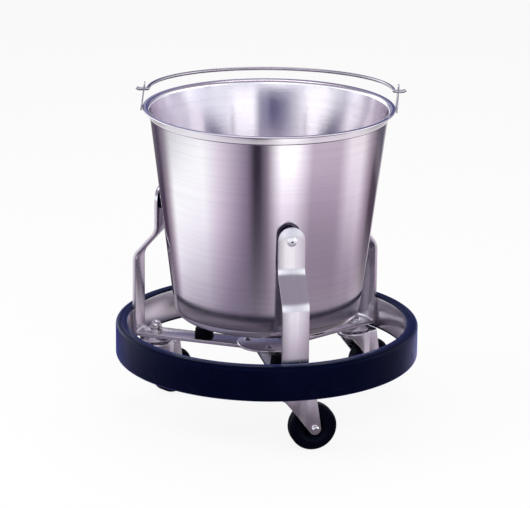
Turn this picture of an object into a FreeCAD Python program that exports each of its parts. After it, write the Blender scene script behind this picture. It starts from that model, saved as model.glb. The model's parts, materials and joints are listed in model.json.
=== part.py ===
import FreeCAD, Part
import math
import os
from types import SimpleNamespace

import Sketcher
from FreeCAD import Placement, Rotation, Vector

# Surgical kick bucket: a stainless pail standing between three bent uprights on a low ring
# frame with three swivel casters. Millimetres and degrees. +Z is up, +X is to the right,
# the bail lies back towards +Y, and the origin is on the floor at the middle of the ring.

SIZES = {
    # Clearances
    "running_fit": 0.05,  # radial play of a turning pin
    "seat_gap": 0.05,  # play between pieces that are assembled and stay put
    "pail_clearance": 0.3,  # pail wall to the rubber buttons
    # Frame arms, bent from flat bar
    "bar_width": 32.4,
    "bar_thickness": 4.2,
    "arm_height": 81.5,  # underside of the arms above the floor
    "arm_inner_end": 11.0,  # radius where each bar starts under the hub plate
    "foot_bend": 3.5,  # inside radius where the arm turns up
    "upright_bend": 6.0,  # inside radius of the two upper bends
    "lower_bend_height": 186.5,
    "upper_bend_height": 219.5,
    "button_height": 258.0,  # centre of the rounded top end
    "front_arm_turn": -78.5,
    # Hub plate and rivets
    "hub_radius": 37.0,
    "hub_thickness": 3.0,
    "hub_chamfer": 1.0,
    "rivet_circle": 24.0,
    "rivet_shank": 2.5,
    "rivet_head": 5.0,
    "rivet_rise": 2.2,
    # Ring: a steel band inside a vinyl channel
    "bumper_outer": 186.0,
    "bumper_wall": 11.0,  # vinyl outside the band
    "band_thickness": 3.0,
    "bumper_height": 43.2,
    "bumper_drop": 7.2,  # from the arms' underside down to the lower edge
    "bumper_lip": 2.5,
    "bumper_round": 4.5,
    # Rubber buttons and pads
    "button_radius": 12.0,
    "button_tip": 10.5,
    "button_thickness": 7.75,
    "button_round": 2.8,
    "blind_head": 6.4,
    "blind_rise": 3.2,
    "blind_shank": 2.4,
    "blind_grip": 7.0,  # length of shank inside the rubber
    "mandrel_hole": 1.4,
    "pad_place": 82.0,
    "pad_radius": 12.2,
    "pad_top": 10.8,
    "pad_thickness": 12.0,
    "pad_round": 2.0,
    "pad_screw": 2.0,
    "pad_screw_head": 4.0,
    "pad_screw_rise": 2.4,
    "pad_screw_depth": 8.0,
    "pad_screw_round": 0.8,
    # Casters
    "caster_inset": 26.0,  # from the band's inside to the kingpin
    "wheel_radius": 28.8,
    "wheel_width": 17.5,
    "tread_round": 3.6,
    "core_radius": 15.0,
    "core_width": 15.0,
    "core_web": 7.0,
    "core_rim": 2.6,
    "hub_outer": 8.4,
    "hub_length": 23.4,
    "bush_radius": 5.0,
    "axle_radius": 3.2,
    "axle_head": 4.7,
    "axle_head_rise": 3.6,
    "axle_head_round": 2.2,
    "axle_nut": 5.5,  # half the distance across the flats
    "axle_nut_thickness": 5.0,
    "axle_end": 1.5,
    "thread_chamfer": 0.7,
    "trail": 27.0,
    "fork_gap": 24.0,
    "fork_sheet": 2.4,
    "fork_top": 20.0,
    "fork_length": 37.0,
    "fork_shoulder": 3.0,
    "flank_turn": 66.0,
    "flank_end": 17.0,
    "leg_end": 7.2,
    "leg_front_slant": 37.1,
    "leg_rear_slant": 8.3,
    "leg_knee": 52.0,
    "skirt_drop": 5.1,  # from the fork's top down to its lower edge in front
    "skirt_knee": 11.0,  # where that edge turns down towards the legs
    "race_depth": 8.0,  # from the arm's underside down to the fork's top
    "race_sheet": 2.0,
    "race_lip": 5.6,
    "race_dome": 14.0,
    "race_radius": 20.2,
    "ball_circle": 10.6,
    "stem_radius": 4.7,
    "stem_flange": 9.5,
    "stem_flange_thickness": 2.6,
    "stem_flange_round": 0.9,
    "stem_reach": 8.0,  # thread above the washer
    "washer_radius": 10.0,
    "washer_thickness": 1.4,
    "acorn_flat": 7.1,  # half the distance across the flats
    "acorn_hex": 5.2,
    "acorn_height": 12.6,
    "front_trail_turn": 15.0,
    "right_trail_turn": 37.0,
    "left_trail_turn": 45.0,
    # Pail
    "rim_radius": 152.7,
    "rim_height": 386.4,
    "rim_lip": 3.6,  # from the end of the rim's bend to its folded edge
    "rim_curve": 5.2,  # upper radius of the bend from the wall to the lip
    "rim_hem": 0.9,  # radius of the folded edge
    "rim_fold": 3.0,  # sheet folded back under the lip
    "band_depth": 11.5,  # widened top of the wall, below the rim
    "band_step": 0.5,
    "pail_bottom": 126.5,
    "pail_sheet": 1.0,
    "wall_angle": 7.05,
    "base_round": 14.0,
    "base_panel": 78.0,
    "base_rise": 1.6,
    # Ears and bail
    "ear_width": 32.0,
    "ear_sheet": 1.6,
    "ear_tail": 2.2,  # below the middle of the folded edge
    "ear_shoulder": 6.8,  # above the middle of the folded edge
    "ear_tip": 8.7,
    "ear_tip_turn": 24.0,  # where the straight sides meet the round tip
    "right_ear_lean": -4.0,  # outwards, as the ears are bent to hold the bail
    "left_ear_lean": 7.5,  # inwards
    "pivot_rise": 20.4,  # bail's hinge line above the rim
    "bail_wire": 2.15,
    "bail_play": 0.35,
    "bail_knee": 3.6,
    "bail_shoulder": 0.4,  # straight wire between a knee and its ear
    "bail_past": 6.2,  # straight wire outside an ear
    "bail_curl": 5.0,
    "bail_curl_turn": 50.0,
    "bail_drop": 2.9,
}

BALLS = 8
SHOULDER_STEPS = 2
HEXAGON = 6
ROUND = 360.0
SIDES = ("front", "right", "left")
SIDE_STEP = 120.0
LEFT = 1
RIGHT = -1


class Size:
    """A length or angle: its value now, and its formula over the sheet's aliases."""

    def __init__(self, value, formula):
        self.value = value
        self.formula = formula

    def __add__(self, other):
        other = sized(other)
        return Size(self.value + other.value, f"({self.formula} + {other.formula})")

    def __sub__(self, other):
        other = sized(other)
        return Size(self.value - other.value, f"({self.formula} - {other.formula})")

    def __rsub__(self, other):
        return sized(other) - self

    def __mul__(self, other):
        other = sized(other)
        return Size(self.value * other.value, f"({self.formula} * {other.formula})")

    def __truediv__(self, other):
        other = sized(other)
        return Size(self.value / other.value, f"({self.formula} / {other.formula})")

    def __neg__(self):
        return Size(-self.value, f"(0 - {self.formula})")

    def __rmul__(self, other):
        return self * other

    def __radd__(self, other):
        return self + other


def sized(number):
    return number if isinstance(number, Size) else Size(float(number), f"({float(number)})")


def sine(angle):
    angle = sized(angle)
    return Size(math.sin(math.radians(angle.value)), f"sin({angle.formula})")


def cosine(angle):
    angle = sized(angle)
    return Size(math.cos(math.radians(angle.value)), f"cos({angle.formula})")


def tangent(angle):
    angle = sized(angle)
    return Size(math.tan(math.radians(angle.value)), f"tan({angle.formula})")


def angle_of(slope):
    return Size(math.degrees(math.atan(slope.value)), f"atan({slope.formula})")


def root(square):
    return Size(math.sqrt(square.value), f"sqrt({square.formula})")


# ---------------------------------------------------------------- document and sheet

doc = FreeCAD.newDocument("kick_bucket")
sheet = doc.addObject("Spreadsheet::Sheet", "Dims")
for row, (alias, number) in enumerate(SIZES.items(), start=1):
    sheet.set(f"A{row}", alias)
    sheet.set(f"B{row}", str(number))
    sheet.setAlias(f"B{row}", alias)
doc.recompute()
size = SimpleNamespace(**{alias: Size(float(sheet.get(alias)), f"Dims.{alias}") for alias in SIZES})


# ---------------------------------------------------------------- sketches


def plane_of(body, role):
    return next(item for item in body.Origin.OriginFeatures if item.Role == role)


def pin(sketch, axis, geometry, end, place):
    """Hold one coordinate of a point at a size, or on the sketch's own axis when it is zero."""
    if place.formula == "(0.0)":
        line = -2 if axis == "X" else -1
        sketch.addConstraint(Sketcher.Constraint("PointOnObject", geometry, end, line))
        return
    number = sketch.addConstraint(Sketcher.Constraint(f"Distance{axis}", geometry, end, place.value))
    sketch.renameConstraint(number, f"place{number}")
    sketch.setExpression(f"Constraints.place{number}", place.formula)


def arc_edge(start, end, centre, turn):
    """An arc from start to end and the numbers of its two ends in that order."""
    radius = (start - centre).Length
    begin = math.atan2(start.y - centre.y, start.x - centre.x)
    finish = math.atan2(end.y - centre.y, end.x - centre.x)
    if turn == RIGHT:
        begin, finish = finish, begin
    if finish <= begin:
        finish += 2 * math.pi
    circle = Part.Circle(centre, Vector(0, 0, 1), radius)
    return Part.ArcOfCircle(circle, begin, finish), (1, 2) if turn == LEFT else (2, 1)


def add_path(sketch, corners, closed=True):
    """Lines and arcs through corners (x, y) or (x, y, centre x, centre y, turn)."""
    corners = [tuple(sized(item) for item in corner[:4]) + corner[4:] for corner in corners]
    legs = len(corners) if closed else len(corners) - 1
    edges = []
    for index in range(legs):
        corner = corners[index]
        following = corners[(index + 1) % len(corners)]
        start = Vector(corner[0].value, corner[1].value, 0)
        end = Vector(following[0].value, following[1].value, 0)
        if len(corner) == 2:
            edges.append((sketch.addGeometry(Part.LineSegment(start, end)), (1, 2)))
        else:
            centre = Vector(corner[2].value, corner[3].value, 0)
            edge, ends = arc_edge(start, end, centre, corner[4])
            edges.append((sketch.addGeometry(edge), ends))
    for index in range(legs if closed else legs - 1):
        here, there = edges[index], edges[(index + 1) % legs]
        joint = Sketcher.Constraint("Coincident", here[0], here[1][1], there[0], there[1][0])
        sketch.addConstraint(joint)
    for index, corner in enumerate(corners):
        if index < legs:
            number, end = edges[index][0], edges[index][1][0]
        else:
            number, end = edges[-1][0], edges[-1][1][1]
        before = corners[index - 1] if closed or index else ()
        axes = "XY"
        if len(before) > 2:
            across = abs(corner[0].value - before[2].value)
            along = abs(corner[1].value - before[3].value)
            axes = "Y" if across > along else "X"
        for axis in axes:
            pin(sketch, axis, number, end, corner[0] if axis == "X" else corner[1])
        if len(corner) > 2 and index < legs:
            pin(sketch, "X", number, 3, corner[2])
            pin(sketch, "Y", number, 3, corner[3])


def add_circle(sketch, x, y, radius):
    centre = Vector(sized(x).value, sized(y).value, 0)
    number = sketch.addGeometry(Part.Circle(centre, Vector(0, 0, 1), radius.value))
    pin(sketch, "X", number, 3, sized(x))
    pin(sketch, "Y", number, 3, sized(y))
    bound = sketch.addConstraint(Sketcher.Constraint("Radius", number, radius.value))
    sketch.renameConstraint(bound, f"radius{bound}")
    sketch.setExpression(f"Constraints.radius{bound}", radius.formula)


def add_axis(sketch, start, end):
    """A construction line from start to end, to turn a profile about."""
    points = [tuple(sized(item) for item in point) for point in (start, end)]
    line = Part.LineSegment(*(Vector(x.value, y.value, 0) for x, y in points))
    number = sketch.addGeometry(line, True)
    for corner, (x, y) in enumerate(points, start=1):
        pin(sketch, "X", number, corner, x)
        pin(sketch, "Y", number, corner, y)


def new_sketch(body, name, plane, lift=None):
    sketch = body.newObject("Sketcher::SketchObject", f"{body.Name}_{name}")
    sketch.AttachmentSupport = [(plane_of(body, plane), "")]
    sketch.MapMode = "FlatFace"
    if lift is not None:
        sketch.AttachmentOffset = Placement(Vector(0, 0, lift.value), Rotation())
        sketch.setExpression("AttachmentOffset.Base.z", lift.formula)
    return sketch


def path_sketch(body, name, plane, corners, lift=None, closed=True):
    sketch = new_sketch(body, name, plane, lift)
    add_path(sketch, corners, closed)
    return sketch


def circle_sketch(body, name, plane, circles, lift=None):
    sketch = new_sketch(body, name, plane, lift)
    for x, y, radius in circles:
        add_circle(sketch, x, y, radius)
    return sketch


# ---------------------------------------------------------------- features


def new_body(name):
    body = doc.addObject("PartDesign::Body", name)
    body.Label = name
    return body


def pad(body, sketch, length, both_ways=False, reverse=False):
    feature = body.newObject("PartDesign::Pad", f"{sketch.Name}_pad")
    feature.Profile = sketch
    feature.SideType = "Symmetric" if both_ways else "One side"
    feature.Reversed = reverse
    feature.setExpression("Length", length.formula)
    doc.recompute()
    return feature


def pocket(body, sketch, length, both_ways=False, reverse=False):
    """Cut a sketch into the body, and stop if the cut takes nothing away."""
    before = body.Shape.Volume
    feature = body.newObject("PartDesign::Pocket", f"{sketch.Name}_cut")
    feature.Profile = sketch
    feature.SideType = "Symmetric" if both_ways else "One side"
    feature.Reversed = reverse
    feature.setExpression("Length", length.formula)
    doc.recompute()
    if not body.Shape.Volume < before:
        raise ValueError(f"{feature.Name} cuts nothing")
    return feature


def turned(name, corners):
    """A body turned about its own Z axis from an outline of (radius, height) corners."""
    body = new_body(name)
    outline = path_sketch(body, "outline", "XZ_Plane", corners)
    feature = body.newObject("PartDesign::Revolution", f"{name}_turned")
    feature.Profile = outline
    feature.ReferenceAxis = (outline, ["V_Axis"])
    feature.Angle = ROUND
    doc.recompute()
    return body


def round_edges(body, name, radius, chosen, kind="PartDesign::Fillet"):
    """Fillet or chamfer the edges of the body that the chosen test accepts."""
    base = body.Tip
    edges = [f"Edge{i}" for i, edge in enumerate(base.Shape.Edges, start=1) if chosen(edge)]
    if not edges:
        raise ValueError(f"{body.Name}_{name} finds no edge")
    feature = body.newObject(kind, f"{body.Name}_{name}")
    feature.Base = (base, edges)
    feature.setExpression("Radius" if kind == "PartDesign::Fillet" else "Size", radius.formula)
    doc.recompute()
    return feature


def circle_edge(radius, height):
    """A test for a full or part circle about Z with that radius at that height."""

    def test(edge):
        curve = edge.Curve
        return (
            isinstance(curve, Part.Circle)
            and abs(curve.Radius - radius.value) < 0.01
            and abs(curve.Center.z - height.value) < 0.01
        )

    return test


def bend_edge(radius, height):
    """A test for an edge across the bar, parallel to Y, at that radius and height."""

    def test(edge):
        box = edge.BoundBox
        flat = box.XLength < 0.01 and box.ZLength < 0.01
        return flat and abs(box.XMin - radius.value) < 0.01 and abs(box.ZMin - height.value) < 0.01

    return test


def place(body, turn, x=0.0, y=0.0, z=0.0):
    body.Placement = Placement(Vector(x, y, z), Rotation(Vector(0, 0, 1), turn))


# ---------------------------------------------------------------- pail, ears and bail

curve_centre = size.rim_radius - size.rim_lip
curve_height = size.rim_height - size.rim_curve
under_curve = size.rim_curve - size.pail_sheet
hem_centre = size.rim_radius - size.rim_hem
hem_height = size.rim_height - size.rim_hem
wall_lean = tangent(size.wall_angle)
base_radius = (
    curve_centre
    - under_curve * cosine(size.wall_angle)
    - (curve_height + under_curve * sine(size.wall_angle) - size.pail_bottom) * wall_lean
    - size.band_step
)
pivot_height = size.rim_height + size.pivot_rise
half_ear = size.ear_sheet / 2


def wall_radius(height):
    """Outer radius of the tapered wall at a height above the floor, below its widened top."""
    return base_radius + (height - size.pail_bottom) * wall_lean


def ear_place(lean):
    """Distance from the pail's axis to an ear's middle plane at the bail's hinge line."""
    foot = (size.rim_hem + size.seat_gap + half_ear) / cosine(lean)
    return hem_centre + foot - (pivot_height - hem_height) * tangent(lean)


right_ear_place = ear_place(size.right_ear_lean)
left_ear_place = ear_place(size.left_ear_lean)


def make_pail():
    """Spun pail: panelled base, tapered wall, widened top and a flat lip with a folded edge."""
    tuck = size.base_round * tangent((90.0 - size.wall_angle) / 2)
    corner_x = base_radius - tuck
    corner_z = size.pail_bottom + size.base_round
    inner_round = size.base_round - size.pail_sheet
    lean_x = cosine(size.wall_angle)
    lean_z = sine(size.wall_angle)
    panel_step = size.base_panel + size.base_rise
    inside = size.pail_bottom + size.pail_sheet
    band_foot = size.rim_height - size.band_depth
    band_start = band_foot + size.band_step
    inner_wall = size.pail_sheet / lean_x
    fold_end = size.rim_radius - size.rim_fold
    fold_under = hem_height - size.rim_hem
    corners = [
        (0, size.pail_bottom + size.base_rise),
        (size.base_panel, size.pail_bottom + size.base_rise),
        (panel_step, size.pail_bottom),
        (corner_x, size.pail_bottom, corner_x, corner_z, LEFT),
        (corner_x + size.base_round * lean_x, corner_z - size.base_round * lean_z),
        (wall_radius(band_foot), band_foot),
        (wall_radius(band_start) + size.band_step, band_start),
        (
            curve_centre - under_curve * lean_x,
            curve_height + under_curve * lean_z,
            curve_centre,
            curve_height,
            RIGHT,
        ),
        (curve_centre, curve_height + under_curve),
        (fold_end, curve_height + under_curve),
        (fold_end, fold_under),
        (hem_centre, fold_under, hem_centre, hem_height, LEFT),
        (hem_centre, size.rim_height),
        (curve_centre, size.rim_height, curve_centre, curve_height, LEFT),
        (
            curve_centre - size.rim_curve * lean_x,
            curve_height + size.rim_curve * lean_z,
        ),
        (wall_radius(band_start) + size.band_step - inner_wall, band_start),
        (wall_radius(band_foot) - inner_wall, band_foot),
        (
            corner_x + inner_round * lean_x,
            corner_z - inner_round * lean_z,
            corner_x,
            corner_z,
            RIGHT,
        ),
        (corner_x, inside),
        (panel_step, inside),
        (size.base_panel, inside + size.base_rise),
        (0, inside + size.base_rise),
    ]
    return turned("pail", corners)


def make_ear(name, side, place, lean):
    """Upright lug on the rim's folded edge; side is 1 for the right ear and -1 for the left."""
    body = new_body(name)
    half = size.ear_width / 2
    tip_x = size.ear_tip * cosine(size.ear_tip_turn)
    tip_z = size.ear_tip * sine(size.ear_tip_turn)
    tail = hem_height - size.ear_tail - pivot_height
    shoulder = hem_height + size.ear_shoulder - pivot_height
    outline = [
        (-half, tail),
        (half, tail),
        (half, shoulder),
        (tip_x, tip_z, 0, 0, LEFT),
        (-tip_x, tip_z),
        (-half, shoulder),
    ]
    pad(body, path_sketch(body, "outline", "YZ_Plane", outline), size.ear_sheet, both_ways=True)
    hole = circle_sketch(body, "hole", "YZ_Plane", [(0, 0, size.bail_wire + size.bail_play)])
    pocket(body, hole, size.ear_sheet * 2, both_ways=True)
    body.Placement = Placement(
        Vector(side * place.value, 0, pivot_height.value),
        Rotation(Vector(0, 1, 0), -side * lean.value),
    )
    return body


def make_bail():
    """Round wire: a half circle between two knees, through the ears, with upturned ends."""
    body = new_body("bail")
    middle = (right_ear_place - left_ear_place) / 2
    half_span = (right_ear_place + left_ear_place) / 2
    reach = half_span - half_ear - size.bail_shoulder
    loop = reach - size.bail_knee
    past = half_span + half_ear + size.bail_past
    route = [
        (-past, 0),
        (-reach, 0, -reach, size.bail_knee, LEFT),
        (-loop, size.bail_knee, 0, size.bail_knee, RIGHT),
        (loop, size.bail_knee, reach, size.bail_knee, LEFT),
        (reach, 0),
        (past, 0),
    ]
    spine = path_sketch(body, "route", "XY_Plane", route, closed=False)
    section = circle_sketch(body, "section", "YZ_Plane", [(0, 0, size.bail_wire)], -past)
    doc.recompute()
    wire = body.newObject("PartDesign::AdditivePipe", "bail_wire")
    wire.Profile = section
    wire.Spine = (spine, [f"Edge{number}" for number in range(1, len(route))])
    doc.recompute()
    for name, start in (("right_curl", past), ("left_curl", -past)):
        end = new_sketch(body, name, "YZ_Plane", start)
        add_circle(end, 0, 0, size.bail_wire)
        add_axis(end, (-size.bail_curl, size.bail_curl), (size.bail_curl, size.bail_curl))
        curl = body.newObject("PartDesign::Revolution", f"bail_{name}")
        curl.Profile = end
        curl.ReferenceAxis = (end, ["Axis0"])
        curl.Reversed = start is past
        curl.setExpression("Angle", size.bail_curl_turn.formula)
        doc.recompute()
    body.Placement = Placement(
        Vector(middle.value, 0, pivot_height.value),
        Rotation(Vector(1, 0, 0), -size.bail_drop.value),
    )
    return body


# ---------------------------------------------------------------- frame

arm_top = size.arm_height + size.bar_thickness
band_outer = size.bumper_outer - size.bumper_wall
band_inner = band_outer - size.band_thickness
arm_reach = root(band_inner * band_inner - size.bar_width * size.bar_width / 4) - size.seat_gap
caster_place = band_inner - size.caster_inset
contact_height = size.button_height + size.button_tip - size.button_round
button_tip_place = wall_radius(contact_height) + size.pail_clearance
upright_inner = button_tip_place + size.button_thickness
upright_outer = upright_inner + size.bar_thickness
ring_bottom = size.arm_height - size.bumper_drop


def make_arm(name, turn):
    """Flat bar: along under the pail, up at the ring, in over two bends, round at the top."""
    body = new_body(name)
    lean = angle_of((arm_reach - upright_outer) / (size.upper_bend_height - size.lower_bend_height))
    shift = size.bar_thickness * tangent(lean / 2)
    inner_reach = arm_reach - size.bar_thickness
    outline = [
        (size.arm_inner_end, size.arm_height),
        (arm_reach, size.arm_height),
        (arm_reach, size.lower_bend_height),
        (upright_outer, size.upper_bend_height),
        (upright_outer, size.button_height),
        (upright_inner, size.button_height),
        (upright_inner, size.upper_bend_height - shift),
        (inner_reach, size.lower_bend_height - shift),
        (inner_reach, arm_top),
        (size.arm_inner_end, arm_top),
    ]
    pad(body, path_sketch(body, "outline", "XZ_Plane", outline), size.bar_width, both_ways=True)
    top_end = [(0, size.button_height, size.bar_width / 2)]
    end = circle_sketch(body, "end", "YZ_Plane", top_end, upright_inner)
    pad(body, end, size.bar_thickness)
    outer_foot = size.foot_bend + size.bar_thickness
    outer_bend = size.upright_bend + size.bar_thickness
    round_edges(body, "foot", outer_foot, bend_edge(arm_reach, size.arm_height))
    round_edges(body, "foot_inside", size.foot_bend, bend_edge(inner_reach, arm_top))
    round_edges(body, "lower_bend", outer_bend, bend_edge(arm_reach, size.lower_bend_height))
    lower_inside = bend_edge(inner_reach, size.lower_bend_height - shift)
    round_edges(body, "lower_inside", size.upright_bend, lower_inside)
    round_edges(body, "upper_bend", size.upright_bend, bend_edge(upright_outer, size.upper_bend_height))
    upper_inside = bend_edge(upright_inner, size.upper_bend_height - shift)
    round_edges(body, "upper_inside", outer_bend, upper_inside)
    holes = [
        (size.rivet_circle, 0, size.rivet_shank + size.seat_gap),
        (size.pad_place, 0, size.pad_screw + size.seat_gap),
        (caster_place, 0, size.stem_radius + size.seat_gap),
    ]
    drilled = circle_sketch(body, "holes", "XY_Plane", holes, size.arm_height)
    pocket(body, drilled, size.bar_thickness, reverse=True)
    rivet_hole = [(0, size.button_height, size.blind_shank + size.seat_gap)]
    drilled = circle_sketch(body, "rivet_hole", "YZ_Plane", rivet_hole, upright_inner)
    pocket(body, drilled, size.bar_thickness, reverse=True)
    place(body, turn)
    return body


def make_hub_plate():
    """Round plate over the inner ends of the three arms."""
    body = turned(
        "hub_plate",
        [
            (0, arm_top),
            (size.hub_radius, arm_top),
            (size.hub_radius, arm_top + size.hub_thickness),
            (0, arm_top + size.hub_thickness),
        ],
    )
    rim = circle_edge(size.hub_radius, arm_top + size.hub_thickness)
    round_edges(body, "chamfer", size.hub_chamfer, rim, "PartDesign::Chamfer")
    holes = []
    for number in range(len(SIDES)):
        turn = size.front_arm_turn + SIDE_STEP * number
        x = size.rivet_circle * cosine(turn)
        y = size.rivet_circle * sine(turn)
        holes.append((x, y, size.rivet_shank + size.seat_gap))
    drilled = circle_sketch(body, "holes", "XY_Plane", holes, arm_top)
    pocket(body, drilled, size.hub_thickness, reverse=True)
    return body


def make_hub_rivet(name, turn):
    """Rivet through the hub plate and an arm, with a domed head above and a flat one below."""
    top = arm_top + size.hub_thickness
    bottom = size.arm_height - size.rivet_rise / 2
    dome = (size.rivet_head * size.rivet_head - size.rivet_rise * size.rivet_rise) / (size.rivet_rise * 2)
    body = turned(
        name,
        [
            (0, bottom),
            (size.rivet_head, bottom),
            (size.rivet_head, size.arm_height),
            (size.rivet_shank, size.arm_height),
            (size.rivet_shank, top),
            (size.rivet_head, top, 0, top - dome, LEFT),
            (0, top + size.rivet_rise),
        ],
    )
    x = size.rivet_circle.value * math.cos(math.radians(turn))
    y = size.rivet_circle.value * math.sin(math.radians(turn))
    place(body, turn, x, y)
    return body


def make_ring_band():
    """Steel band that the arms are welded to."""
    low = ring_bottom + size.bumper_lip + size.seat_gap
    high = ring_bottom + size.bumper_height - size.bumper_lip - size.seat_gap
    outline = [(band_inner, low), (band_outer, low), (band_outer, high), (band_inner, high)]
    return turned("ring_band", outline)


def make_bumper():
    """Vinyl channel round the band, with rounded outer edges and a lip over each band edge."""
    low = ring_bottom
    high = ring_bottom + size.bumper_height
    groove = band_outer + size.seat_gap
    shoulder = size.bumper_outer - size.bumper_round
    return turned(
        "bumper",
        [
            (band_inner, low),
            (shoulder, low, shoulder, low + size.bumper_round, LEFT),
            (size.bumper_outer, low + size.bumper_round),
            (size.bumper_outer, high - size.bumper_round, shoulder, high - size.bumper_round, LEFT),
            (shoulder, high),
            (band_inner, high),
            (band_inner, high - size.bumper_lip),
            (groove, high - size.bumper_lip),
            (groove, low + size.bumper_lip),
            (band_inner, low + size.bumper_lip),
        ],
    )


def rubber_outline(base, tip, thickness, rounding, bore, depth):
    """Half section of a tapered rubber stop with a rounded tip and a blind bore in its base."""
    return [
        (bore, 0),
        (base, 0),
        (tip, thickness - rounding, tip - rounding, thickness - rounding, LEFT),
        (tip - rounding, thickness),
        (0, thickness),
        (0, depth),
        (bore, depth),
    ]


def outward(turn, radius, height):
    """Placement that points a piece's own Z axis at the frame's axis, for the uprights."""
    angle = math.radians(turn)
    x = radius.value * math.cos(angle)
    y = radius.value * math.sin(angle)
    tilt = Rotation(Vector(0, 0, 1), turn).multiply(Rotation(Vector(0, 1, 0), -90))
    return Placement(Vector(x, y, height.value), tilt)


def make_upright_button(name, turn):
    """Rubber button on the inside of an upright; the tapered pail wedges against it."""
    outline = rubber_outline(
        size.button_radius,
        size.button_tip,
        size.button_thickness,
        size.button_round,
        size.blind_shank + size.seat_gap,
        size.blind_grip + size.seat_gap,
    )
    body = turned(name, outline)
    body.Placement = outward(turn, upright_inner, size.button_height)
    return body


def make_upright_rivet(name, turn):
    """Blind rivet that holds the button: domed flange outside, shank into the rubber."""
    back = -(size.bar_thickness + size.blind_rise)
    flange = -size.bar_thickness
    dome = (size.blind_head * size.blind_head - size.blind_rise * size.blind_rise) / (size.blind_rise * 2)
    centre = flange + dome
    body = turned(
        name,
        [
            (0, back, 0, centre, LEFT),
            (size.blind_head, flange),
            (size.blind_shank, flange),
            (size.blind_shank, size.blind_grip),
            (0, size.blind_grip),
        ],
    )
    hole = circle_sketch(body, "mandrel", "XY_Plane", [(0, 0, size.mandrel_hole)], back)
    pocket(body, hole, size.blind_rise + size.bar_thickness / 2, reverse=True)
    body.Placement = outward(turn, upright_inner, size.button_height)
    return body


def make_arm_pad(name, turn):
    """Black rubber stop on an arm, under the pail."""
    outline = rubber_outline(
        size.pad_radius,
        size.pad_top,
        size.pad_thickness,
        size.pad_round,
        size.pad_screw + size.seat_gap,
        size.pad_screw_depth + size.seat_gap,
    )
    body = turned(name, outline)
    angle = math.radians(turn)
    reach = size.pad_place.value
    place(body, turn, reach * math.cos(angle), reach * math.sin(angle), arm_top.value)
    return body


def make_pad_screw(name, turn):
    """Pan head screw from under the arm up into the pad."""
    under = -size.bar_thickness
    body = turned(
        name,
        [
            (0, under - size.pad_screw_rise),
            (size.pad_screw_head, under - size.pad_screw_rise),
            (size.pad_screw_head, under),
            (size.pad_screw, under),
            (size.pad_screw, size.pad_screw_depth),
            (0, size.pad_screw_depth),
        ],
    )
    head = circle_edge(size.pad_screw_head, under - size.pad_screw_rise)
    round_edges(body, "head", size.pad_screw_round, head)
    angle = math.radians(turn)
    reach = size.pad_place.value
    place(body, turn, reach * math.cos(angle), reach * math.sin(angle), arm_top.value)
    return body


# ---------------------------------------------------------------- casters

fork_top_height = size.arm_height - size.race_depth
fork_under = fork_top_height - size.fork_sheet
leg_outer = size.fork_gap / 2 + size.fork_sheet
race_under = size.arm_height - size.race_sheet
ball_radius = (race_under - fork_top_height - size.running_fit * 2) / 2


def caster_spot(turn):
    angle = math.radians(turn)
    return caster_place.value * math.cos(angle), caster_place.value * math.sin(angle)


def put_caster_piece(body, spot, trail_turn):
    place(body, trail_turn, spot[0], spot[1])
    return body


def put_wheel_piece(body, spot, trail_turn):
    """Lay a turned piece on the axle: its own Z axis becomes the axle, head side forwards."""
    angle = math.radians(trail_turn)
    x = spot[0] + size.trail.value * math.cos(angle)
    y = spot[1] + size.trail.value * math.sin(angle)
    turn = Rotation(Vector(0, 0, 1), trail_turn).multiply(Rotation(Vector(1, 0, 0), 90))
    body.Placement = Placement(Vector(x, y, size.wheel_radius.value), turn)
    return body


def hexagon(flat):
    """Corners of a hexagon from half the distance across its flats."""
    step = ROUND / HEXAGON
    corner = flat / cosine(step / 2)
    return [(corner * cosine(step * number), corner * sine(step * number)) for number in range(HEXAGON)]


def make_stem(name):
    """Kingpin: a flange under the fork, a plain shank and a thread end in the acorn nut."""
    flange_top = fork_under - size.running_fit
    flange_low = flange_top - size.stem_flange_thickness
    top = arm_top + size.washer_thickness + size.stem_reach
    body = turned(
        name,
        [
            (0, flange_low),
            (size.stem_flange, flange_low),
            (size.stem_flange, flange_top),
            (size.stem_radius, flange_top),
            (size.stem_radius, top),
            (0, top),
        ],
    )
    edge = circle_edge(size.stem_flange, flange_low)
    round_edges(body, "flange", size.stem_flange_round, edge)
    edge = circle_edge(size.stem_radius, top)
    round_edges(body, "end", size.thread_chamfer, edge, "PartDesign::Chamfer")
    return body


def make_washer(name):
    low = arm_top
    high = arm_top + size.washer_thickness
    bore = size.stem_radius + size.seat_gap
    return turned(
        name,
        [(bore, low), (size.washer_radius, low), (size.washer_radius, high), (bore, high)],
    )


def make_acorn_nut(name):
    """Hexagon with a domed cap, bored to fit over the stem's end."""
    body = new_body(name)
    low = arm_top + size.washer_thickness
    blank = path_sketch(body, "hexagon", "XY_Plane", hexagon(size.acorn_flat), low)
    pad(body, blank, size.acorn_hex)
    dome_low = low + size.acorn_hex
    rise = size.acorn_height - size.acorn_hex
    crown = dome_low + rise - size.acorn_flat
    dome = [
        (0, dome_low),
        (size.acorn_flat, dome_low),
        (size.acorn_flat, crown, 0, crown, LEFT),
        (0, dome_low + rise),
    ]
    cap = body.newObject("PartDesign::Revolution", f"{name}_cap")
    cap.Profile = path_sketch(body, "dome", "XZ_Plane", dome)
    cap.ReferenceAxis = (cap.Profile[0], ["V_Axis"])
    cap.Angle = ROUND
    doc.recompute()
    bore = circle_sketch(body, "bore", "XY_Plane", [(0, 0, size.stem_radius + size.seat_gap)], low)
    pocket(body, bore, size.stem_reach + size.seat_gap, reverse=True)
    return body


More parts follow.
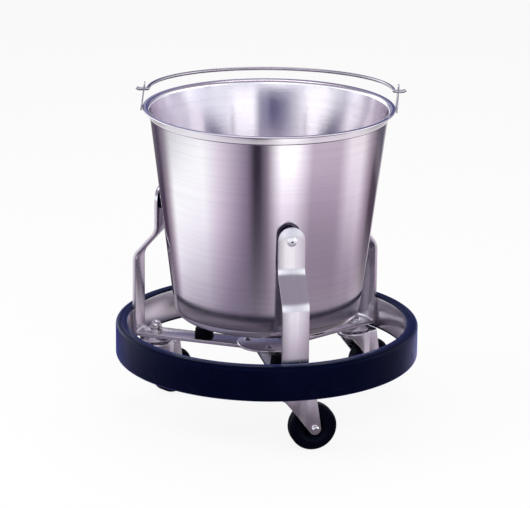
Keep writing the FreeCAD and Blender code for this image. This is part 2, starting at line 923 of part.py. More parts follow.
def make_top_race(name):
    """Stamped cup under the arm; its sloped skirt covers the balls."""
    bore = size.stem_radius + size.seat_gap
    lip = size.arm_height - size.race_lip
    return turned(
        name,
        [
            (bore, race_under),
            (size.race_dome, race_under),
            (size.race_radius - size.race_sheet, lip),
            (size.race_radius, lip),
            (size.race_radius, lip + size.race_sheet),
            (size.race_dome + size.race_sheet, size.arm_height),
            (bore, size.arm_height),
        ],
    )


def make_ball_ring(name):
    """Loose bearing balls between the race and the fork."""
    body = new_body(name)
    height = race_under - size.running_fit - ball_radius
    seat = new_sketch(body, "ball", "XZ_Plane")
    half = [
        (size.ball_circle, height - ball_radius, size.ball_circle, height, LEFT),
        (size.ball_circle, height + ball_radius),
    ]
    add_path(seat, half)
    add_axis(seat, (size.ball_circle, height - ball_radius), (size.ball_circle, height + ball_radius))
    ball = body.newObject("PartDesign::Revolution", f"{name}_ball")
    ball.Profile = seat
    ball.ReferenceAxis = (seat, ["Axis0"])
    ball.Angle = ROUND
    doc.recompute()
    ring = body.newObject("PartDesign::PolarPattern", f"{name}_pattern")
    ring.Originals = [ball]
    ring.Axis = (plane_of(body, "Z_Axis"), [""])
    ring.Angle = ROUND
    ring.Occurrences = BALLS
    body.Tip = ring
    doc.recompute()
    return body


def fork_section(radius, half, length):
    """Plan of the fork: round about the kingpin, then flanks, then flat parallel sides."""
    x = radius * cosine(size.flank_turn)
    y = radius * sine(size.flank_turn)
    return [
        (x, y, 0, 0, LEFT),
        (x, -y),
        (size.flank_end, -half),
        (length, -half),
        (length, half),
        (size.flank_end, half),
    ]


def add_loft(body, kind, name, low, high):
    feature = body.newObject(kind, f"{body.Name}_{name}")
    feature.Profile = low
    feature.Sections = [high]
    feature.Ruled = True
    doc.recompute()
    return feature


def make_fork(name):
    """Stamped fork: a round top that draws in to two flat legs, cut to the legs' outline."""
    body = new_body(name)
    sheet_metal = size.fork_sheet
    low = size.wheel_radius - size.leg_end - size.fork_sheet
    length = size.fork_length
    waist = fork_top_height - size.fork_shoulder
    section = fork_section(leg_outer, leg_outer, length)
    below = path_sketch(body, "outer_low", "XY_Plane", section, low)
    for step in range(SHOULDER_STEPS + 1):
        turn = ROUND / 4 * step / SHOULDER_STEPS
        inset = size.fork_shoulder * (1 - cosine(turn))
        section = fork_section(size.fork_top - inset, leg_outer - inset, length)
        level = waist + size.fork_shoulder * sine(turn)
        above = path_sketch(body, f"outer_{step}", "XY_Plane", section, level)
        add_loft(body, "PartDesign::AdditiveLoft", f"outside_{step}", below, above)
        below = above
    gap = size.fork_gap / 2
    inner_low = fork_section(leg_outer - sheet_metal, gap, length + sheet_metal)
    inner_low = path_sketch(body, "inner_low", "XY_Plane", inner_low, low)
    inner_high = fork_section(size.fork_top - sheet_metal, gap, length + sheet_metal)
    inner_high = path_sketch(body, "inner_high", "XY_Plane", inner_high, fork_under)
    add_loft(body, "PartDesign::SubtractiveLoft", "inside", inner_low, inner_high)
    axle_x = size.trail
    axle_z = size.wheel_radius
    front_x = axle_x - size.leg_end * cosine(size.leg_front_slant)
    front_z = axle_z - size.leg_end * sine(size.leg_front_slant)
    knee_x = front_x - (size.leg_knee - front_z) * tangent(size.leg_front_slant)
    rear_x = axle_x + size.leg_end * cosine(size.leg_rear_slant)
    rear_z = axle_z + size.leg_end * sine(size.leg_rear_slant)
    above = fork_top_height + sheet_metal
    top_x = rear_x - (above - rear_z) * tangent(size.leg_rear_slant)
    beyond = size.fork_top + sheet_metal
    skirt = fork_top_height - size.skirt_drop
    kept = [
        (-beyond, above),
        (-beyond, skirt),
        (-size.skirt_knee, skirt - size.fork_sheet),
        (knee_x, size.leg_knee),
        (front_x, front_z, axle_x, axle_z, LEFT),
        (rear_x, rear_z),
        (top_x, above),
    ]
    far = length + beyond
    waste = [(-far, 0), (far, 0), (far, above + beyond), (-far, above + beyond)]
    trim = new_sketch(body, "trim", "XZ_Plane")
    add_path(trim, waste)
    add_path(trim, kept)
    pocket(body, trim, beyond * 2, both_ways=True)
    stem_hole = circle_sketch(
        body, "stem_hole", "XY_Plane", [(0, 0, size.stem_radius + size.running_fit)], fork_under
    )
    pocket(body, stem_hole, sheet_metal, reverse=True)
    axle_hole = [(size.trail, size.wheel_radius, size.axle_radius + size.seat_gap)]
    axle_hole = circle_sketch(body, "axle_hole", "XZ_Plane", axle_hole)
    pocket(body, axle_hole, beyond * 2, both_ways=True)
    return body


def make_tyre(name):
    """Hard rubber tread with rounded shoulders."""
    half = size.wheel_width / 2
    inner = size.core_radius + size.seat_gap
    core_half = size.core_width / 2
    cheek = (size.core_radius + size.wheel_radius) / 2
    shoulder = size.wheel_radius - size.tread_round
    return turned(
        name,
        [
            (inner, -core_half),
            (cheek - size.tread_round, -half),
            (shoulder, -half, shoulder, size.tread_round - half, LEFT),
            (size.wheel_radius, size.tread_round - half),
            (size.wheel_radius, half - size.tread_round, shoulder, half - size.tread_round, LEFT),
            (shoulder, half),
            (cheek - size.tread_round, half),
            (inner, core_half),
        ],
    )


def make_core(name):
    """Wheel centre: hub, thinner web and a rim that holds the tyre."""
    bore = size.bush_radius + size.running_fit
    hub = size.hub_length / 2
    web = size.core_web / 2
    rim = size.core_width / 2
    rim_inner = size.core_radius - size.core_rim
    upper = [
        (bore, hub),
        (size.hub_outer, hub),
        (size.hub_outer, web),
        (rim_inner, web),
        (rim_inner, rim),
        (size.core_radius, rim),
    ]
    lower = [(x, -z) for x, z in upper]
    return turned(name, lower + upper[::-1])


def make_bush(name):
    """Steel tube clamped between the fork's legs; the wheel turns on it."""
    half = size.fork_gap / 2 - size.seat_gap
    bore = size.axle_radius + size.seat_gap
    return turned(
        name,
        [(bore, -half), (size.bush_radius, -half), (size.bush_radius, half), (bore, half)],
    )


def make_axle(name):
    """Axle bolt with a domed head on one leg and its thread end past the nut on the other."""
    head_low = leg_outer
    head_high = leg_outer + size.axle_head_rise
    far = -(leg_outer + size.axle_nut_thickness + size.axle_end)
    body = turned(
        name,
        [
            (0, far),
            (size.axle_radius, far),
            (size.axle_radius, head_low),
            (size.axle_head, head_low),
            (size.axle_head, head_high),
            (0, head_high),
        ],
    )
    head = circle_edge(size.axle_head, head_high)
    round_edges(body, "head", size.axle_head_round, head)
    end = circle_edge(size.axle_radius, far)
    round_edges(body, "end", size.thread_chamfer, end, "PartDesign::Chamfer")
    return body


def make_axle_nut(name):
    """Hexagon nut with chamfered corners on the far leg."""
    body = new_body(name)
    near = -leg_outer
    blank = path_sketch(body, "hexagon", "XY_Plane", hexagon(size.axle_nut), near)
    pad(body, blank, size.axle_nut_thickness, reverse=True)
    bore = circle_sketch(body, "bore", "XY_Plane", [(0, 0, size.axle_radius + size.seat_gap)], near)
    pocket(body, bore, size.axle_nut_thickness)
    return body


# ---------------------------------------------------------------- assembly

subparts = [
    make_pail(),
    make_ear("ear_right", 1, right_ear_place, size.right_ear_lean),
    make_ear("ear_left", -1, left_ear_place, size.left_ear_lean),
    make_bail(),
]
subparts += [make_hub_plate(), make_ring_band(), make_bumper()]

trail_turns = (
    size.front_trail_turn.value,
    size.right_trail_turn.value,
    size.left_trail_turn.value,
)
for number, side in enumerate(SIDES):
    arm_turn = size.front_arm_turn.value + SIDE_STEP * number
    subparts.append(make_arm(f"arm_{side}", arm_turn))
    subparts.append(make_hub_rivet(f"hub_rivet_{side}", arm_turn))
    subparts.append(make_upright_button(f"upright_button_{side}", arm_turn))
    subparts.append(make_upright_rivet(f"upright_rivet_{side}", arm_turn))
    subparts.append(make_arm_pad(f"arm_pad_{side}", arm_turn))
    subparts.append(make_pad_screw(f"pad_screw_{side}", arm_turn))
    spot = caster_spot(arm_turn)
    trail_turn = trail_turns[number]
    for piece, make in (
        ("stem", make_stem),
        ("stem_washer", make_washer),
        ("acorn_nut", make_acorn_nut),
        ("top_race", make_top_race),
        ("ball_ring", make_ball_ring),
        ("fork", make_fork),
    ):
        subparts.append(put_caster_piece(make(f"{piece}_{side}"), spot, trail_turn))
    for piece, make in (
        ("axle", make_axle),
        ("axle_nut", make_axle_nut),
        ("wheel_bush", make_bush),
        ("wheel_core", make_core),
        ("tyre", make_tyre),
    ):
        subparts.append(put_wheel_piece(make(f"{piece}_{side}"), spot, trail_turn))

doc.recompute()

for item in doc.Objects:
    if "Invalid" in item.State or "Error" in item.State:
        raise ValueError(f"{item.Label} failed: {item.State}")
for body in subparts:
    if body.Shape.isNull() or not body.Shape.isValid():
        raise ValueError(f"{body.Label} has no valid shape")

os.makedirs("parts", exist_ok=True)
for body in subparts:
    body.Shape.exportStep(f"parts/{body.Label}.step")
print(f"{len(subparts)} sub-parts written")
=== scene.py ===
# %% [markdown]
# # A kick bucket for an operating room
#
# A kick bucket is a stainless pail that stands in a low frame on casters, so that a nurse can push it
# along with a foot. A hoop of vinyl round the frame keeps it from marking walls and ankles.
# The lesson dresses an engineering model of it: every visible piece is modelled again with smooth
# surfaces and soft edges, at the size and place that the model gives, and gets its own finish.

# %% Load the engineering model
import json
import math

import bpy
from mathutils import Matrix, Vector


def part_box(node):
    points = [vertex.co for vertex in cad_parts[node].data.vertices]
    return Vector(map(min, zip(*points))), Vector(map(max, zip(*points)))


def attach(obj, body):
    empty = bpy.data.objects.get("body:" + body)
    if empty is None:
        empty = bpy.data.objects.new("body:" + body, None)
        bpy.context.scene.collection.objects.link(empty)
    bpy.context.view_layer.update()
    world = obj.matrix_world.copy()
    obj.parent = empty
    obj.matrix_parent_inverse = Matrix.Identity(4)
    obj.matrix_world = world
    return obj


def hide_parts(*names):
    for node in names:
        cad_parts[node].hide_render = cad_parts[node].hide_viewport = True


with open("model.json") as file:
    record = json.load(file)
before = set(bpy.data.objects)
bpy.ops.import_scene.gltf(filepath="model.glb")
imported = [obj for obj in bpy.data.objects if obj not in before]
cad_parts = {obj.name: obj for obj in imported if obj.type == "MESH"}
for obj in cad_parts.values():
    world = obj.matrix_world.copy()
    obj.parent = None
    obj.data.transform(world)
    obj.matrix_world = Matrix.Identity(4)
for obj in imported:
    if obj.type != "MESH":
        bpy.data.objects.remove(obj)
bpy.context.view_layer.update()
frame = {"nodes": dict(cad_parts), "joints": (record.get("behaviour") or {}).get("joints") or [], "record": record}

# %% [markdown]
# ## Sides, joints and reaches
#
# The frame has three arms, one every third of a turn, and each ends at a caster. The joints say where
# each kingpin and axle is, so the directions of arms and wheels can be worked out from them. Sizes that
# are not parallel to the world's axes are measured along a direction instead of read from a box.

# %% Read the three sides from the joints
SIDES = ("front", "right", "left")
UP = Vector((0, 0, 1))
joints = {joint["name"]: joint for joint in frame["joints"]}
kingpin = {side: Vector(joints[f"swivel_{side}_turn"]["pos_m"]) for side in SIDES}
axle_middle = {side: Vector(joints[f"wheel_{side}_spin"]["pos_m"]) for side in SIDES}
arm_turn = {side: math.atan2(kingpin[side].y, kingpin[side].x) for side in SIDES}
trail = {side: axle_middle[side] - kingpin[side] for side in SIDES}
trail_turn = {side: math.atan2(trail[side].y, trail[side].x) for side in SIDES}


def span(node, direction):
    """Least and greatest reach of a node of the model along a direction."""
    reaches = [vertex.co.dot(direction) for vertex in frame["nodes"][node].data.vertices]
    return min(reaches), max(reaches)


def half_across(box):
    """Radius of a round node from its box."""
    return (box[1].x - box[0].x) / 2


def towards(turn):
    """The level direction at an angle from +X."""
    return Vector((math.cos(turn), math.sin(turn), 0))


front_arm = towards(arm_turn["front"])
print("arm turns in degrees:", [round(math.degrees(turn), 1) for turn in arm_turn.values()])

# %% [markdown]
# ## Hands for modelling
#
# An operator in Blender acts on whatever is selected. These helpers are the habits of a careful
# modeller put into words: let go of everything, take hold of one piece, enter edit mode and choose
# points or edges by where they are.

# %% Take hold of a piece and choose parts of it
SAME = 1e-6


def hold(piece):
    """Make a piece the only one that is selected, in object mode."""
    if bpy.context.mode != "OBJECT":
        bpy.ops.object.mode_set(mode="OBJECT")
    bpy.ops.object.select_all(action="DESELECT")
    if piece is not None:
        piece.select_set(True)
        bpy.context.view_layer.objects.active = piece


def drop(piece):
    """Throw a piece away."""
    hold(piece)
    bpy.ops.object.delete()


def take(name):
    """Name the piece that was just added and bake its place into its mesh."""
    piece = bpy.context.active_object
    piece.name = name
    bpy.ops.object.transform_apply(location=True, rotation=True, scale=True)
    return piece


def edit(piece, kind="VERT", everything=False):
    """Enter edit mode on a piece with nothing or everything selected."""
    hold(piece)
    bpy.ops.object.mode_set(mode="EDIT")
    bpy.ops.mesh.select_mode(type=kind)
    bpy.ops.mesh.select_all(action="SELECT" if everything else "DESELECT")


def choose_points(piece, test):
    """Enter edit mode with only the points selected whose place passes the test."""
    edit(piece)
    bpy.ops.object.mode_set(mode="OBJECT")
    for vertex in piece.data.vertices:
        vertex.select = test(vertex.co)
    bpy.ops.object.mode_set(mode="EDIT")


def choose_edges(piece, test):
    """Enter edit mode with only the edges selected whose two ends pass the test."""
    edit(piece, "EDGE")
    bpy.ops.object.mode_set(mode="OBJECT")
    points = piece.data.vertices
    for line in piece.data.edges:
        line.select = test(points[line.vertices[0]].co, points[line.vertices[1]].co)
    bpy.ops.object.mode_set(mode="EDIT")


def push(step):
    """Extrude what is selected by a step."""
    bpy.ops.mesh.extrude_region_move(TRANSFORM_OT_translate={"value": step})


def close_up(piece):
    """Merge the points that meet and turn the faces outwards."""
    edit(piece, everything=True)
    bpy.ops.mesh.remove_doubles(threshold=SAME)
    bpy.ops.mesh.normals_make_consistent(inside=False)
    hold(piece)


# %% [markdown]
# ## Outlines, corners and turning
#
# Most of the bucket is turned, bent or spun sheet and bar, so most pieces start as an outline: one
# point, extruded from corner to corner. A corner is rounded by a vertex bevel, whose offset is the
# distance from the corner to the start of the arc. The outline is then spun about an axis for a turned
# piece or extruded sideways for a bent one.

# %% Draw outlines, round their corners and turn them
SEED = 0.001
CREASE = math.radians(32)


def draw(name, corners, closed=False):
    """A wire through the corners, made by extruding one point."""
    hold(None)
    bpy.ops.mesh.primitive_plane_add(size=SEED, location=corners[0])
    piece = take(name)
    edit(piece, everything=True)
    bpy.ops.mesh.merge(type="CENTER")
    path = list(corners) + ([corners[0]] if closed else [])
    for start, end in zip(path, path[1:]):
        push(Vector(end) - Vector(start))
    close_up(piece)
    return piece


def round_corner(piece, corner, radius, segments):
    """Bevel one point of a wire so that the arc between its two lines has this radius."""
    corner = Vector(corner)
    hold(piece)
    points = piece.data.vertices
    number = min(range(len(points)), key=lambda i: (points[i].co - corner).length)
    ways = []
    for line in piece.data.edges:
        ends = list(line.vertices)
        if number in ends:
            ends.remove(number)
            ways.append((points[ends[0]].co - points[number].co).normalized())
    bend = math.pi - ways[0].angle(ways[1])
    choose_points(piece, lambda place: (place - corner).length < SAME)
    start = radius * math.tan(bend / 2)
    bpy.ops.mesh.bevel(offset=start, segments=segments, profile=0.5, affect="VERTICES")
    hold(piece)


def smooth(piece):
    """Smooth shading with creases left sharp."""
    hold(piece)
    bpy.ops.object.shade_smooth_by_angle(angle=CREASE)


def turned(name, corners, rounds=(), closed=False, steps=96):
    """A piece spun about Z from (radius, height) corners; rounds are (corner, radius, segments)."""
    places = [(radius, 0, height) for radius, height in corners]
    piece = draw(name, places, closed)
    for number, radius, segments in rounds:
        round_corner(piece, places[number], radius, segments)
    edit(piece, everything=True)
    bpy.ops.mesh.spin(steps=steps, angle=math.tau, center=(0, 0, 0), axis=(0, 0, 1))
    close_up(piece)
    smooth(piece)
    return piece


# %% [markdown]
# ### Changing and placing pieces
#
# Modifiers are applied at once, as they would be before the next step by hand. A piece is modelled at
# the origin, set down at its place, and the place is baked into its mesh.

# %% Modify, copy and set down
def modify(piece, kind, **values):
    """Add a modifier, set it up and apply it."""
    hold(piece)
    modifier = piece.modifiers.new(kind.title(), kind)
    for name, value in values.items():
        setattr(modifier, name, value)
    bpy.ops.object.modifier_apply(modifier=modifier.name)


def combine(piece, operation, tool):
    """Cut, trim or join a piece with another one, which is then thrown away."""
    modify(piece, "BOOLEAN", operation=operation, object=tool, solver="EXACT")
    drop(tool)


def soften(piece, width):
    """Break the sharp edges of a piece, as a tumbler or a file does."""
    modify(piece, "BEVEL", width=width, segments=2, limit_method="ANGLE", angle_limit=CREASE)
    smooth(piece)


def set_down(piece, place):
    """Put a piece in its place and bake the place into its mesh."""
    hold(piece)
    piece.matrix_world = place
    bpy.ops.object.transform_apply(location=True, rotation=True, scale=True)


def copy_of(piece):
    """A copy with a mesh of its own."""
    hold(piece)
    bpy.ops.object.duplicate(linked=False)
    return bpy.context.active_object


def turn_about_z(turn, place=(0, 0, 0)):
    """Place for a piece that is turned about the upright and then moved."""
    return Matrix.Translation(place) @ Matrix.Rotation(turn, 4, "Z")


def at_kingpin(side):
    """Place for a caster's piece: its own Z axis is the kingpin, its own X axis points to the wheel."""
    return turn_about_z(trail_turn[side], (kingpin[side].x, kingpin[side].y, 0))


def lying_on_axle(side):
    """Place for a turned wheel piece: its own Z axis lies along the axle."""
    return turn_about_z(trail_turn[side], axle_middle[side]) @ Matrix.Rotation(math.pi / 2, 4, "X")


def on_arm(distance, height):
    """A rule for places on an arm at a distance from the middle."""
    return lambda side: turn_about_z(arm_turn[side], towards(arm_turn[side]) * distance + UP * height)


# %% [markdown]
# ## Shader nodes in words
#
# The studio's papers, the room and every finish are built from shader nodes. One helper adds a node
# and fills or links its sockets. The others name what a node is for: to calculate, to stretch a
# pattern, to blend two colours or to give a shade for a direction.

# %% Tools for node trees
def put(tree, socket, value):
    """Link an output to a socket, or set the socket's own value."""
    if isinstance(value, bpy.types.NodeSocket):
        tree.links.new(value, socket)
    else:
        socket.default_value = value


def add_node(tree, kind, sockets=None, **settings):
    """A shader node with its settings, and a value or a link for each input socket that is named."""
    node = tree.nodes.new(f"ShaderNode{kind}")
    for name, value in settings.items():
        setattr(node, name, value)
    for name, value in (sockets or {}).items():
        put(tree, node.inputs[name], value)
    return node


def factor_of(texture):
    """The number that a texture gives, under either of its names."""
    return texture.outputs["Factor" if "Factor" in texture.outputs else "Fac"]


def calculate(tree, operation, first, second=0.0):
    """The result of a Math node."""
    return add_node(tree, "Math", {0: first, 1: second}, operation=operation).outputs[0]


def ranged(tree, value, low, high, to_low=0.0, to_high=1.0):
    """A number stretched from one range to another and clamped at both ends."""
    sockets = {"Value": value, "From Min": low, "From Max": high, "To Min": to_low, "To Max": to_high}
    return add_node(tree, "MapRange", sockets).outputs["Result"]


def noise(tree, vector, scale, detail=2.0, roughness=0.5):
    """A soft random pattern over a vector."""
    sockets = {"Vector": vector, "Scale": scale, "Detail": detail, "Roughness": roughness}
    return factor_of(add_node(tree, "TexNoise", sockets))


def stretched(tree, vector, scale):
    """A vector squeezed differently along each axis."""
    return add_node(tree, "Mapping", {"Vector": vector, "Scale": scale}).outputs["Vector"]


def resized(tree, vector, size):
    """A vector scaled by a number that may come from another node."""
    return add_node(tree, "VectorMath", {0: vector, "Scale": size}, operation="SCALE").outputs[0]


def gradient(tree, kind, vector, turn=0.0, scale=1.0, shift=(0, 0, 0)):
    """A gradient over a vector that is first scaled, turned about Z and shifted."""
    sockets = {"Vector": vector, "Rotation": (0, 0, turn), "Scale": (scale,) * 3, "Location": shift}
    place = add_node(tree, "Mapping", sockets).outputs["Vector"]
    return factor_of(add_node(tree, "TexGradient", {"Vector": place}, gradient_type=kind))


def ramp(tree, factor, steps):
    """A colour ramp with a stop for each (position, colour)."""
    node = add_node(tree, "ValToRGB", {0: factor})
    stops = node.color_ramp.elements
    stops.remove(stops[1])
    stops[0].position, stops[0].color = steps[0][0], (*steps[0][1], 1)
    for position, color in steps[1:]:
        stops.new(position).color = (*color, 1)
    return node.outputs["Color"]


def round_ramp(tree, vector, shades):
    """Shades by direction: degrees from the camera's side, positive to the right."""
    around = gradient(tree, "RADIAL", vector, math.pi / 2)
    return ramp(tree, around, [((turn + 180) / 360, shade) for turn, shade in shades])


def blend(tree, factor, low, high, kind="MIX"):
    """A colour that goes from low to high with a factor; each is a colour or an output."""
    node = add_node(tree, "Mix", {"Factor": factor}, data_type="RGBA", blend_type=kind)
    colors = [socket for socket in node.inputs if socket.type == "RGBA"]
    for socket, value in zip(colors, (low, high)):
        put(tree, socket, (*value, 1) if isinstance(value, tuple) else value)
    return next(socket for socket in node.outputs if socket.type == "RGBA")


def seen_rays(tree):
    """1 for rays of the camera, of mirrors and of glass, 0 for the light on matt surfaces."""
    path = add_node(tree, "LightPath").outputs
    seen = calculate(tree, "MAXIMUM", path["Is Camera Ray"], path["Is Glossy Ray"])
    return calculate(tree, "MAXIMUM", seen, path["Is Transmission Ray"])


def empty_material(name):
    """A material without nodes; gives it and its tree."""
    material = bpy.data.materials.new(name)
    material.use_nodes = True
    material.node_tree.nodes.clear()
    return material, material.node_tree


# %% [markdown]
# ## The camera
#
# The camera stands well back and has a long lens, so that the ellipses of the rim and the hoop stay
# calm. It looks down at the bucket by about 17 degrees. It is rolled by a little more than half a
# degree, as a camera on a tripod often is.

# %% Stand the camera
CAMERA_PLACE = Vector((-0.0020, -3.2010, 1.1544))
CAMERA_PITCH = math.radians(16.587)
CAMERA_YAW = math.radians(0.019)
CAMERA_ROLL = math.radians(0.593)
LENS = 185.3
SENSOR = 36.0
FAR_CLIP = 50

hold(None)
bpy.ops.object.camera_add()
camera = bpy.context.active_object
camera.name = "studio_camera"
camera.data.lens = LENS
camera.data.sensor_width = SENSOR
camera.data.clip_end = FAR_CLIP
pitched = Matrix.Rotation(CAMERA_YAW, 4, "Z") @ Matrix.Rotation(math.pi / 2 - CAMERA_PITCH, 4, "X")
camera.matrix_world = Matrix.Translation(CAMERA_PLACE) @ pitched @ Matrix.Rotation(CAMERA_ROLL, 4, "Z")
bpy.context.scene.camera = camera
print("camera at", tuple(CAMERA_PLACE))

# %% [markdown]
# ## Floor and light
#
# Bright metal shows its surroundings more than itself, so the studio has two parts. Soft boxes light
# the matt rubber and vinyl and draw a soft shadow, and only the one above shows in mirrors. The floor
# is white paper: part of its brightness is its own, so that it stays white round the shadow. A pail
# and its frame mirror each other many times over, so rays may bounce often before they end.

# %% Lay the floor
WHITE = (1.0, 1.0, 1.0)
FLOOR_SIZE = 16.0
PAPER_GLOW = 0.88
MIRROR_BOUNCES = 12

scene = bpy.context.scene
scene.view_settings.view_transform = "Standard"
scene.cycles.max_bounces = MIRROR_BOUNCES
scene.cycles.glossy_bounces = MIRROR_BOUNCES

white_paper, tree = empty_material("white_paper")
matt = add_node(tree, "BsdfDiffuse", {"Color": (*WHITE, 1)}).outputs[0]
glowing = add_node(tree, "Emission", {"Color": (*WHITE, 1)}).outputs[0]
share = calculate(tree, "MULTIPLY", seen_rays(tree), PAPER_GLOW)
surface = add_node(tree, "MixShader", {0: share, 1: matt, 2: glowing}).outputs[0]
add_node(tree, "OutputMaterial", {"Surface": surface})

hold(None)
bpy.ops.mesh.primitive_plane_add(size=FLOOR_SIZE)
floor = bpy.context.active_object
floor.name = "paper_floor"
floor.data.materials.append(white_paper)

# %% Hang the soft boxes
# name, place, height that it aims at, width, height, power, and whether mirrors show it
SOFT_BOXES = [
    ("left_soft_box", (-1.6, -0.5, 0.9), 0.25, 0.9, 1.4, 14, False),
    ("right_soft_box", (1.7, -0.9, 0.8), 0.25, 0.6, 1.3, 8, False),
    ("front_soft_box", (0.5, -2.2, 1.9), 0.2, 1.2, 0.7, 16, False),
    ("top_soft_box", (0, 0.6, 2.2), 0.3, 1.4, 1.2, 10, True),
]
for name, place, aim, width, height, power, mirrored in SOFT_BOXES:
    hold(None)
    bpy.ops.object.light_add(type="AREA", location=place)
    box = bpy.context.active_object
    box.name = name
    box.data.shape = "RECTANGLE"
    box.data.size = width
    box.data.size_y = height
    box.data.energy = power
    box.rotation_euler = (Vector((0, 0, aim)) - Vector(place)).to_track_quat("-Z", "Y").to_euler()
    box.visible_glossy = mirrored
print(len(SOFT_BOXES), "soft boxes hang")

# %% [markdown]
# ### The room
#
# For the camera the room is plain white, and its light on matt surfaces is even. Mirrors see more of
# it: bright walls at the sides with a faint blue of daylight, a dim blue one behind the bucket, and a
# grey ceiling. Light Path tells the rays apart.

# %% Paint the room
ROOM_LIGHT = 0.45
ROOM_WALLS = [
    (-180, (0.3, 0.3, 0.48)),
    (-162, (0.45, 0.47, 0.6)),
    (-148, (1.9, 2.0, 2.0)),
    (-116, (1.9, 2.0, 2.0)),
    (-94, (1.4, 1.5, 1.55)),
    (-34, (1.35, 1.45, 1.55)),
    (-8, (1.75, 1.85, 1.9)),
    (22, (0.95, 1.0, 1.1)),
    (44, (1.3, 1.4, 1.4)),
    (64, (1.9, 2.0, 1.95)),
    (102, (1.9, 2.0, 1.95)),
    (124, (1.05, 1.1, 1.15)),
    (146, (0.4, 0.4, 0.55)),
    (166, (0.12, 0.12, 0.26)),
]
CEILING_GREY = (0.42, 0.385, 0.47)
CEILING_START = 0.42
CEILING_END = 0.62

scene.world = bpy.data.worlds.new("studio_room")
scene.world.use_nodes = True
tree = scene.world.node_tree
tree.nodes.clear()
direction = add_node(tree, "TexCoord").outputs["Generated"]
steepness = add_node(tree, "SeparateXYZ", {0: direction}).outputs["Z"]
ceiling = ranged(tree, steepness, CEILING_START, CEILING_END)
mirrored = blend(tree, ceiling, round_ramp(tree, direction, ROOM_WALLS), CEILING_GREY)
in_mirror = add_node(tree, "LightPath").outputs["Is Glossy Ray"]
sockets = {
    "Color": blend(tree, in_mirror, WHITE, mirrored),
    "Strength": ranged(tree, seen_rays(tree), 0.0, 1.0, ROOM_LIGHT, 1.0),
}
walls = add_node(tree, "Background", sockets).outputs[0]
add_node(tree, "OutputWorld", {"Surface": walls})
print("the room has", len(ROOM_WALLS), "shades round its walls")

# %% [markdown]
# ### Cards on the floor
#
# The stripes on the pail are reflections of what lies on the floor round it. A ring of paper cards
# does that here: white at the left, a narrow dark strip beside the camera, white again, grey and then
# white at the right, and dark at both shoulders. Every shade is given by its direction, like the
# room's. Towards the bucket the cards fade into the grey of its own shadow, and far away into a haze,
# which is what the upright band under the rim shows. Mirrors see the cards and nothing else does.

# %% Shades of the cards, by direction and by distance
CARDS_INNER = 0.01
CARDS_OUTER = 1.5
CARDS_HEIGHT = 0.002
CARD_SHADES = [
    (-180, (1.1, 1.05, 1.1)),
    (-170, (0.9, 0.84, 0.9)),
    (-160, (0.08, 0.06, 0.09)),
    (-137, (0.08, 0.05, 0.09)),
    (-122, (0.5, 0.43, 0.5)),
    (-110, (1.22, 1.27, 1.26)),
    (-66, (1.22, 1.27, 1.26)),
    (-48, (0.9, 0.84, 0.93)),
    (-30, (0.52, 0.46, 0.56)),
    (-20, (0.3, 0.25, 0.34)),
    (-13, (0.03, 0.02, 0.04)),
    (-8, (0.03, 0.02, 0.04)),
    (-1, (0.3, 0.26, 0.32)),
    (13, (1.75, 1.8, 1.75)),
    (24, (1.7, 1.75, 1.7)),
    (42, (0.74, 0.66, 0.75)),
    (72, (0.7, 0.62, 0.71)),
    (86, (1.1, 1.06, 1.1)),
    (102, (1.05, 1.0, 1.05)),
    (116, (0.5, 0.42, 0.5)),
    (130, (0.1, 0.07, 0.1)),
    (150, (0.08, 0.06, 0.09)),
    (164, (0.9, 0.84, 0.9)),
]
NEAR_SHADES = [
    (-180, (0.05, 0.05, 0.1)),
    (-132, (0.05, 0.05, 0.1)),
    (-100, (0.2, 0.18, 0.26)),
    (-40, (0.28, 0.26, 0.36)),
    (0, (0.4, 0.35, 0.42)),
    (100, (0.4, 0.35, 0.42)),
    (125, (1.0, 0.93, 1.0)),
    (165, (1.0, 0.93, 1.0)),
    (178, (0.2, 0.18, 0.26)),
]
FAR_SHADES = [
    (-180, (0.5, 0.45, 0.5)),
    (-140, (0.1, 0.1, 0.15)),
    (-110, (0.2, 0.2, 0.25)),
    (-80, (0.65, 0.6, 0.7)),
    (80, (0.9, 0.85, 0.95)),
    (110, (0.2, 0.2, 0.25)),
    (150, (0.2, 0.2, 0.25)),
    (176, (0.5, 0.45, 0.5)),
]
# the rest is by distance, as a share of the ring's reach: how much of a card's light is left,
# how much of it gives way to grey, how deep the near grey is, and where the far grey takes over
CARD_FADE = [
    (0.16, (0.25, 0.22, 0.27)),
    (0.27, (0.38, 0.33, 0.4)),
    (0.35, (0.6, 0.54, 0.62)),
    (0.45, (0.9, 0.85, 0.92)),
    (0.56, (1.0, 1.0, 1.0)),
]
GREY_SHARE = [(0.14, 1.0), (0.2, 0.75), (0.27, 0.45), (0.36, 0.2), (0.5, 0.0), (0.62, 0.0), (0.75, 0.45)]
NEAR_DEPTH = [(0.125, 0.4), (0.16, 1.0)]
FAR_START = [(0.62, 0.0), (0.75, 1.0)]
SHADOW_SHIFT = (-0.065, 0.04, 0)

# %% Lay the ring of cards
hold(None)
bpy.ops.mesh.primitive_circle_add(vertices=96, radius=CARDS_OUTER, location=(0, 0, CARDS_HEIGHT))
cards = take("reflection_cards")
edit(cards, everything=True)
push((0, 0, 0))
ratio = CARDS_INNER / CARDS_OUTER
bpy.ops.transform.resize(value=(ratio, ratio, 1))
hold(cards)

card_paper, tree = empty_material("card_paper")
spot = add_node(tree, "TexCoord").outputs["Object"]
# the spherical gradient is 1 in the middle and falls to 0 at the ring's reach
nearness = gradient(tree, "SPHERICAL", spot, 0.0, 1 / CARDS_OUTER, SHADOW_SHIFT)


def distance_ramp(stops):
    """Shades or numbers by distance from the middle."""
    shades = [(reach, shade if isinstance(shade, tuple) else (shade,) * 3) for reach, shade in stops]
    return ramp(tree, nearness, [(1 - reach, shade) for reach, shade in reversed(shades)])


